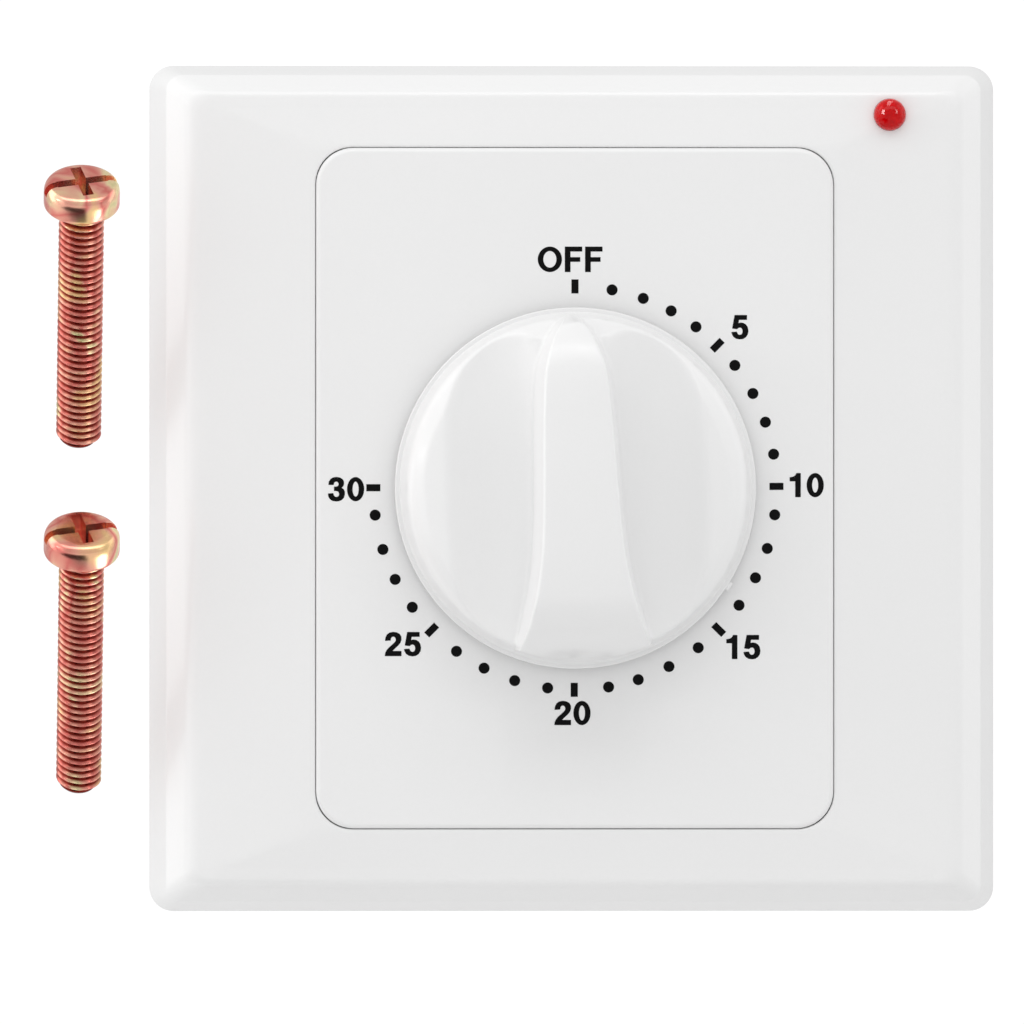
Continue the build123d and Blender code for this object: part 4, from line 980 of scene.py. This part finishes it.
class SWITCH_OT_fixing_screws(bpy.types.Operator):
    """Make the two loose fixing screws beside the plate"""

    bl_idname = "timer_switch.fixing_screws"
    bl_label = "Fixing screws"

    def execute(self, context):
        sizes = context.scene.switch_screws
        for name, drop in (("upper", 0.0), ("lower", sizes.drop)):
            place = Matrix.Translation((sizes.x, -sizes.forward, sizes.upper_z - drop))
            place = place @ Matrix.Rotation(sizes.lean, 4, "X") @ Matrix.Rotation(sizes.turn, 4, "Z")
            outline = [(0, 0), (sizes.head_radius, 0), (sizes.head_radius, sizes.head), (0, sizes.head)]
            profile = softened(outline, [0, sizes.head_foot_round, sizes.head_round, 0], 10)
            head = turned("screw_" + name, profile, place)
            cutters = []
            for long, wide, depth in (
                (2 * sizes.head_radius + MM, sizes.slot_width, sizes.slot_depth),
                (sizes.cross_length, sizes.cross_width, sizes.cross_depth),
                (sizes.cross_width, sizes.cross_length, sizes.cross_depth),
            ):
                at = place @ Matrix.Translation((0, 0, sizes.head - depth + SLOT_HELPER / 2))
                cutters.append(block("slot", (long, wide, SLOT_HELPER), at))
            cut(head, cutters)
            joined(head, [threaded_shank("shank", sizes, place)])
            shaded(head, SCREW_SHARP)
            mark_crests(head, place, sizes)
            head.visible_shadow = False
            fitted(head, "yellow_zinc", "base", "fixing_screw_" + name)
        return {"FINISHED"}


# Sizes of a small screw in millimetres: its node tree's inputs and their defaults
SCREW_NUMBERS = {
    "Head Radius": 2.0, "Head Height": 1.4, "Shank Radius": 1.1, "Slot Width": 0.5, "Slot Depth": 0.6,
    "Thread Pitch": 0.5, "Thread Depth": 0.1, "Shank Length": 4.4,
}


def slotted_screw_tree():
    """Node tree: a slotted screw on each point, head towards the wall box."""
    tree = bpy.data.node_groups.new("slotted screws", "GeometryNodeTree")
    face = tree.interface
    face.new_socket("Places", in_out="INPUT", socket_type="NodeSocketGeometry")
    for label, value in SCREW_NUMBERS.items():
        face.new_socket(label, in_out="INPUT", socket_type="NodeSocketFloat").default_value = value * MM
    face.new_socket("Screws", in_out="OUTPUT", socket_type="NodeSocketGeometry")
    given = node(tree, "NodeGroupInput").outputs
    head_height, shank_length = given["Head Height"], given["Shank Length"]
    depth = given["Thread Depth"]

    def shape(kind, **inputs):
        return node(tree, "GeometryNode" + kind, **inputs)

    def times(value, factor):
        return maths(tree, "MULTIPLY", value, factor)

    def moved(made, shift):
        move = node(tree, "ShaderNodeCombineXYZ", Z=shift).outputs[0]
        return shape("Transform", Geometry=made.outputs["Mesh"], Translation=move).outputs[0]

    head = shape("MeshCylinder", Vertices=40, Radius=given["Head Radius"], Depth=head_height)
    size = node(
        tree, "ShaderNodeCombineXYZ", X=times(given["Head Radius"], 2.5), Y=given["Slot Width"],
        Z=times(given["Slot Depth"], 2.0),
    )
    slot = shape("MeshCube", Size=size.outputs[0])
    carved = shape("MeshBoolean")
    carved.operation = "DIFFERENCE"
    tree.links.new(moved(head, times(head_height, -0.5)), carved.inputs[0])
    tree.links.new(moved(slot, times(head_height, -1.0)), carved.inputs[1])
    inner = maths(tree, "SUBTRACT", given["Shank Radius"], depth)
    shank = shape("MeshCylinder", Vertices=24, Radius=inner, Depth=shank_length)
    threaded = times(shank_length, 0.9)
    spiral = shape(
        "CurveSpiral", Resolution=20, Rotations=maths(tree, "DIVIDE", threaded, given["Thread Pitch"]),
        Start_Radius=inner, End_Radius=inner, Height=threaded,
    )
    profile = shape("CurvePrimitiveCircle", Resolution=4, Radius=depth).outputs[0]
    thread = shape("CurveToMesh", Curve=spiral.outputs[0], Profile_Curve=profile, Fill_Caps=True)
    whole = shape("JoinGeometry")
    for made in (carved.outputs[0], moved(shank, times(shank_length, 0.5)), thread.outputs[0]):
        tree.links.new(made, whole.inputs[0])
    stood = shape("Transform", Geometry=whole.outputs[0], Rotation=(pi / 2, 0.0, 0.0))
    each = shape("InstanceOnPoints", Points=given["Places"], Instance=stood.outputs[0])
    real = shape("RealizeInstances", Geometry=each.outputs[0])
    node(tree, "NodeGroupOutput", Screws=real.outputs[0])
    return tree


class SWITCH_OT_small_screws(bpy.types.Operator):
    """Make the slotted screws of the tub, the clockwork and the terminals"""

    bl_idname = "timer_switch.small_screws"
    bl_label = "Small screws"

    def execute(self, context):
        tree = slotted_screw_tree()
        for name, family, places, *numbers in (
            ("tub_screws", "housing_screw_", CORNERS, 2.0, 1.4, 1.1, 0.5, 0.6, 0.5, 0.1),
            ("clockwork_screws", "movement_screw_", CORNERS, 1.8, 1.2, 0.9, 0.5, 0.6, 0.45, 0.1),
            ("clamp_screws", "terminal_screw_", SIDES, 2.6, 1.6, 1.5, 0.7, 0.6, 0.7, 0.1),
        ):
            stood_for = [family + place for place in places]
            values = {label: value * MM for label, value in zip(SCREW_NUMBERS, numbers)}
            points = []
            for stand_in in stood_for:
                low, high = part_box(stand_in)
                neck = high[1] - values["Head Height"]
                points.append(((low[0] + high[0]) / 2, neck, (low[2] + high[2]) / 2))
                values["Shank Length"] = neck - low[1]
            screws = plain_piece(name, points, [])
            change = screws.modifiers.new("screws", "NODES")
            change.node_group = tree
            for item in tree.interface.items_tree:
                if item.name in values:
                    change[item.identifier] = values[item.name]
            settled(screws)
            shaded(screws)
            fitted(screws, "steel", "base", *stood_for)
        return {"FINISHED"}


# Contacts


class SWITCH_OT_contacts(bpy.types.Operator):
    """Make the contact leaf and its rivet, which in the real switch the cam bends down as the knob turns"""

    bl_idname = "timer_switch.contacts"
    bl_label = "Contacts"

    def execute(self, context):
        for solid, name, slot in (
            ("contact_leaf", "leaf_spring", "contact_bronze"),
            ("contact_rivet_moving", "leaf_rivet", "contact_silver"),
        ):
            piece = smooth_copy(solid, name)
            fitted(piece, slot, "base", solid)
            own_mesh(piece)
        return {"FINISHED"}


# Stage


def soft_light(name, place, aim, size, power):
    lamp = bpy.data.lights.new(name, "AREA")
    lamp.shape = "RECTANGLE"
    lamp.size, lamp.size_y = size
    lamp.energy = power
    light = placed(name, lamp)
    light.location = place
    light.rotation_euler = facing(Vector(aim) - Vector(place))
    return light


def facing(way):
    return way.to_track_quat("-Z", "Y").to_euler()


class SWITCH_OT_stage(bpy.types.Operator):
    """Set up the camera, the lights, the backdrop and the floor"""

    bl_idname = "timer_switch.stage"
    bl_label = "Stage"

    def execute(self, context):
        stage = context.scene.switch_stage
        scene = context.scene
        scene.view_settings.view_transform = "Standard"
        scene.view_settings.look = "None"
        camera_data = bpy.data.cameras.new("camera")
        camera_data.lens = stage.lens
        camera_data.sensor_width = SENSOR
        camera_data.clip_start = 0.01
        camera_data.clip_end = 20.0
        distance = stage.frame_width * stage.lens / SENSOR
        aim = Vector((stage.aim_x, 0, stage.aim_z))
        level = cos(stage.elevation)
        away = Vector((sin(stage.azimuth) * level, -cos(stage.azimuth) * level, sin(stage.elevation)))
        camera = placed("camera", camera_data)
        camera.location = aim + away * distance
        camera.rotation_euler = facing(-away)
        scene.camera = camera

        world = bpy.data.worlds.new("pale room")
        world.use_nodes = True
        scene.world = world
        tree = world.node_tree
        room = tree.nodes["Background"]
        feed(tree, room, Color=(1, 1, 1, 1), Strength=0.7)
        seen = node(tree, "ShaderNodeBackground", Color=(1, 1, 1, 1), Strength=1.05)
        either = node(tree, "ShaderNodeMixShader")
        by_camera = node(tree, "ShaderNodeLightPath").outputs["Is Camera Ray"]
        for source, socket in zip((by_camera, room.outputs[0], seen.outputs[0]), either.inputs):
            tree.links.new(source, socket)
        feed(tree, tree.nodes["World Output"], Surface=either.outputs[0])

        for name, place, size, power in (
            ("top", (0.0, -0.45, 0.58), (1.2, 0.3), 1.68),
            ("left", (-0.62, -0.32, 0.25), (0.3, 0.8), 0.41),
            ("left_side", (-0.62, 0.02, 0.25), (0.3, 0.8), 1.02),
            ("right_side", (0.62, 0.02, 0.25), (0.3, 0.8), 0.51),
            ("left_spark", (-0.60, -0.25, 0.14), (0.09, 0.05), 0.11),
            ("top_spark", (0.06, -0.45, 0.55), (0.08, 0.06), 0.08),
            ("right_spark", (0.55, -0.50, 0.22), (0.06, 0.06), 0.05),
        ):
            soft_light(name, place, (0, 0, 0), size, power)
        lit = {}
        for group, pieces in (("lens", ["lamp_lens"]), ("screws", ["screw_upper", "screw_lower"])):
            lit[group] = bpy.data.collections.new(group + " only")
            for piece in pieces:
                lit[group].objects.link(bpy.data.objects[piece])
        at_lens, at_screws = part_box("led_body")[0], (-0.05, -0.015, 0.0)
        for name, place, aim, size, power, group in (
            ("lens_left", (-0.435, -0.347, 0.208), at_lens, (0.22, 0.3), 5.5, "lens"),
            ("lens_right", (0.463, -0.374, 0.243), at_lens, (0.16, 0.26), 1.4, "lens"),
            ("lens_top", (0.0, 0.0, 0.62), at_lens, (0.5, 0.2), 2.2, "lens"),
            ("screw_right", (0.04, -0.02, -0.085), at_screws, (0.07, 0.05), 0.035, "screws"),
        ):
            light = soft_light(name, place, aim, size, power)
            light.visible_diffuse = light.visible_camera = False
            light.light_linking.receiver_collection = lit[group]

        points = [(a, b, -stage.floor_drop) for a, b in circle(stage.floor_radius, FLOOR_SIDES)]
        floor_piece = plain_piece("floor", points, [tuple(range(FLOOR_SIDES))])
        # A black card hidden from the camera, diffuse rays and shadows, seen only in reflections: it paints
        # dark reflections, mainly on the fixing screws
        flag = block("flag", (0.22, 0.138, 0.001), Matrix.Translation((-0.132, -0.131, -0.1)))
        for piece, name, colour, low, high, rough, bump in (
            (floor_piece, "pale floor", (0.86, 0.86, 0.86), 0.99, 1.0, (0.55, 0.65), 0.05),
            (flag, "black felt", (0.01, 0.01, 0.01), 0.8, 1.2, (0.9, 1.0), 0.1),
        ):
            piece.data.materials.append(dressed(name, colour, PLASTIC, low, high, rough, bump, reach=0.1))
        flag.visible_camera = flag.visible_diffuse = flag.visible_shadow = False
        return {"FINISHED"}


STEPS = (
    SWITCH_OT_finishes, SWITCH_OT_frame, SWITCH_OT_panel, SWITCH_OT_knob, SWITCH_OT_lamp,
    SWITCH_OT_fixing_screws, SWITCH_OT_small_screws, SWITCH_OT_contacts, SWITCH_OT_stage,
)


class VIEW3D_PT_timer_switch(bpy.types.Panel):
    """Sizes, colours and steps of the timer light switch"""

    bl_label = "Timer light switch"
    bl_space_type = "VIEW_3D"
    bl_region_type = "UI"
    bl_category = "Timer switch"

    def draw(self, context):
        for step in STEPS:
            self.layout.operator(step.bl_idname)
        for group in GROUPS:
            sizes = getattr(context.scene, group)
            box = self.layout.box()
            box.label(text=group.replace("switch_", "").capitalize())
            for name in sizes.__annotations__:
                box.prop(sizes, name)


def register():
    for name, group in GROUPS.items():
        bpy.utils.register_class(group)
        setattr(bpy.types.Scene, name, bpy.props.PointerProperty(type=group))
    for step in STEPS:
        bpy.utils.register_class(step)
    bpy.utils.register_class(VIEW3D_PT_timer_switch)


def unregister():
    bpy.utils.unregister_class(VIEW3D_PT_timer_switch)
    for step in reversed(STEPS):
        bpy.utils.unregister_class(step)
    for name, group in reversed(GROUPS.items()):
        delattr(bpy.types.Scene, name)
        bpy.utils.unregister_class(group)


def main():
    register()
    for step in STEPS:
        family, action = step.bl_idname.split(".")
        getattr(getattr(bpy.ops, family), action)()
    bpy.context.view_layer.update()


if __name__ == "__main__":
    main()
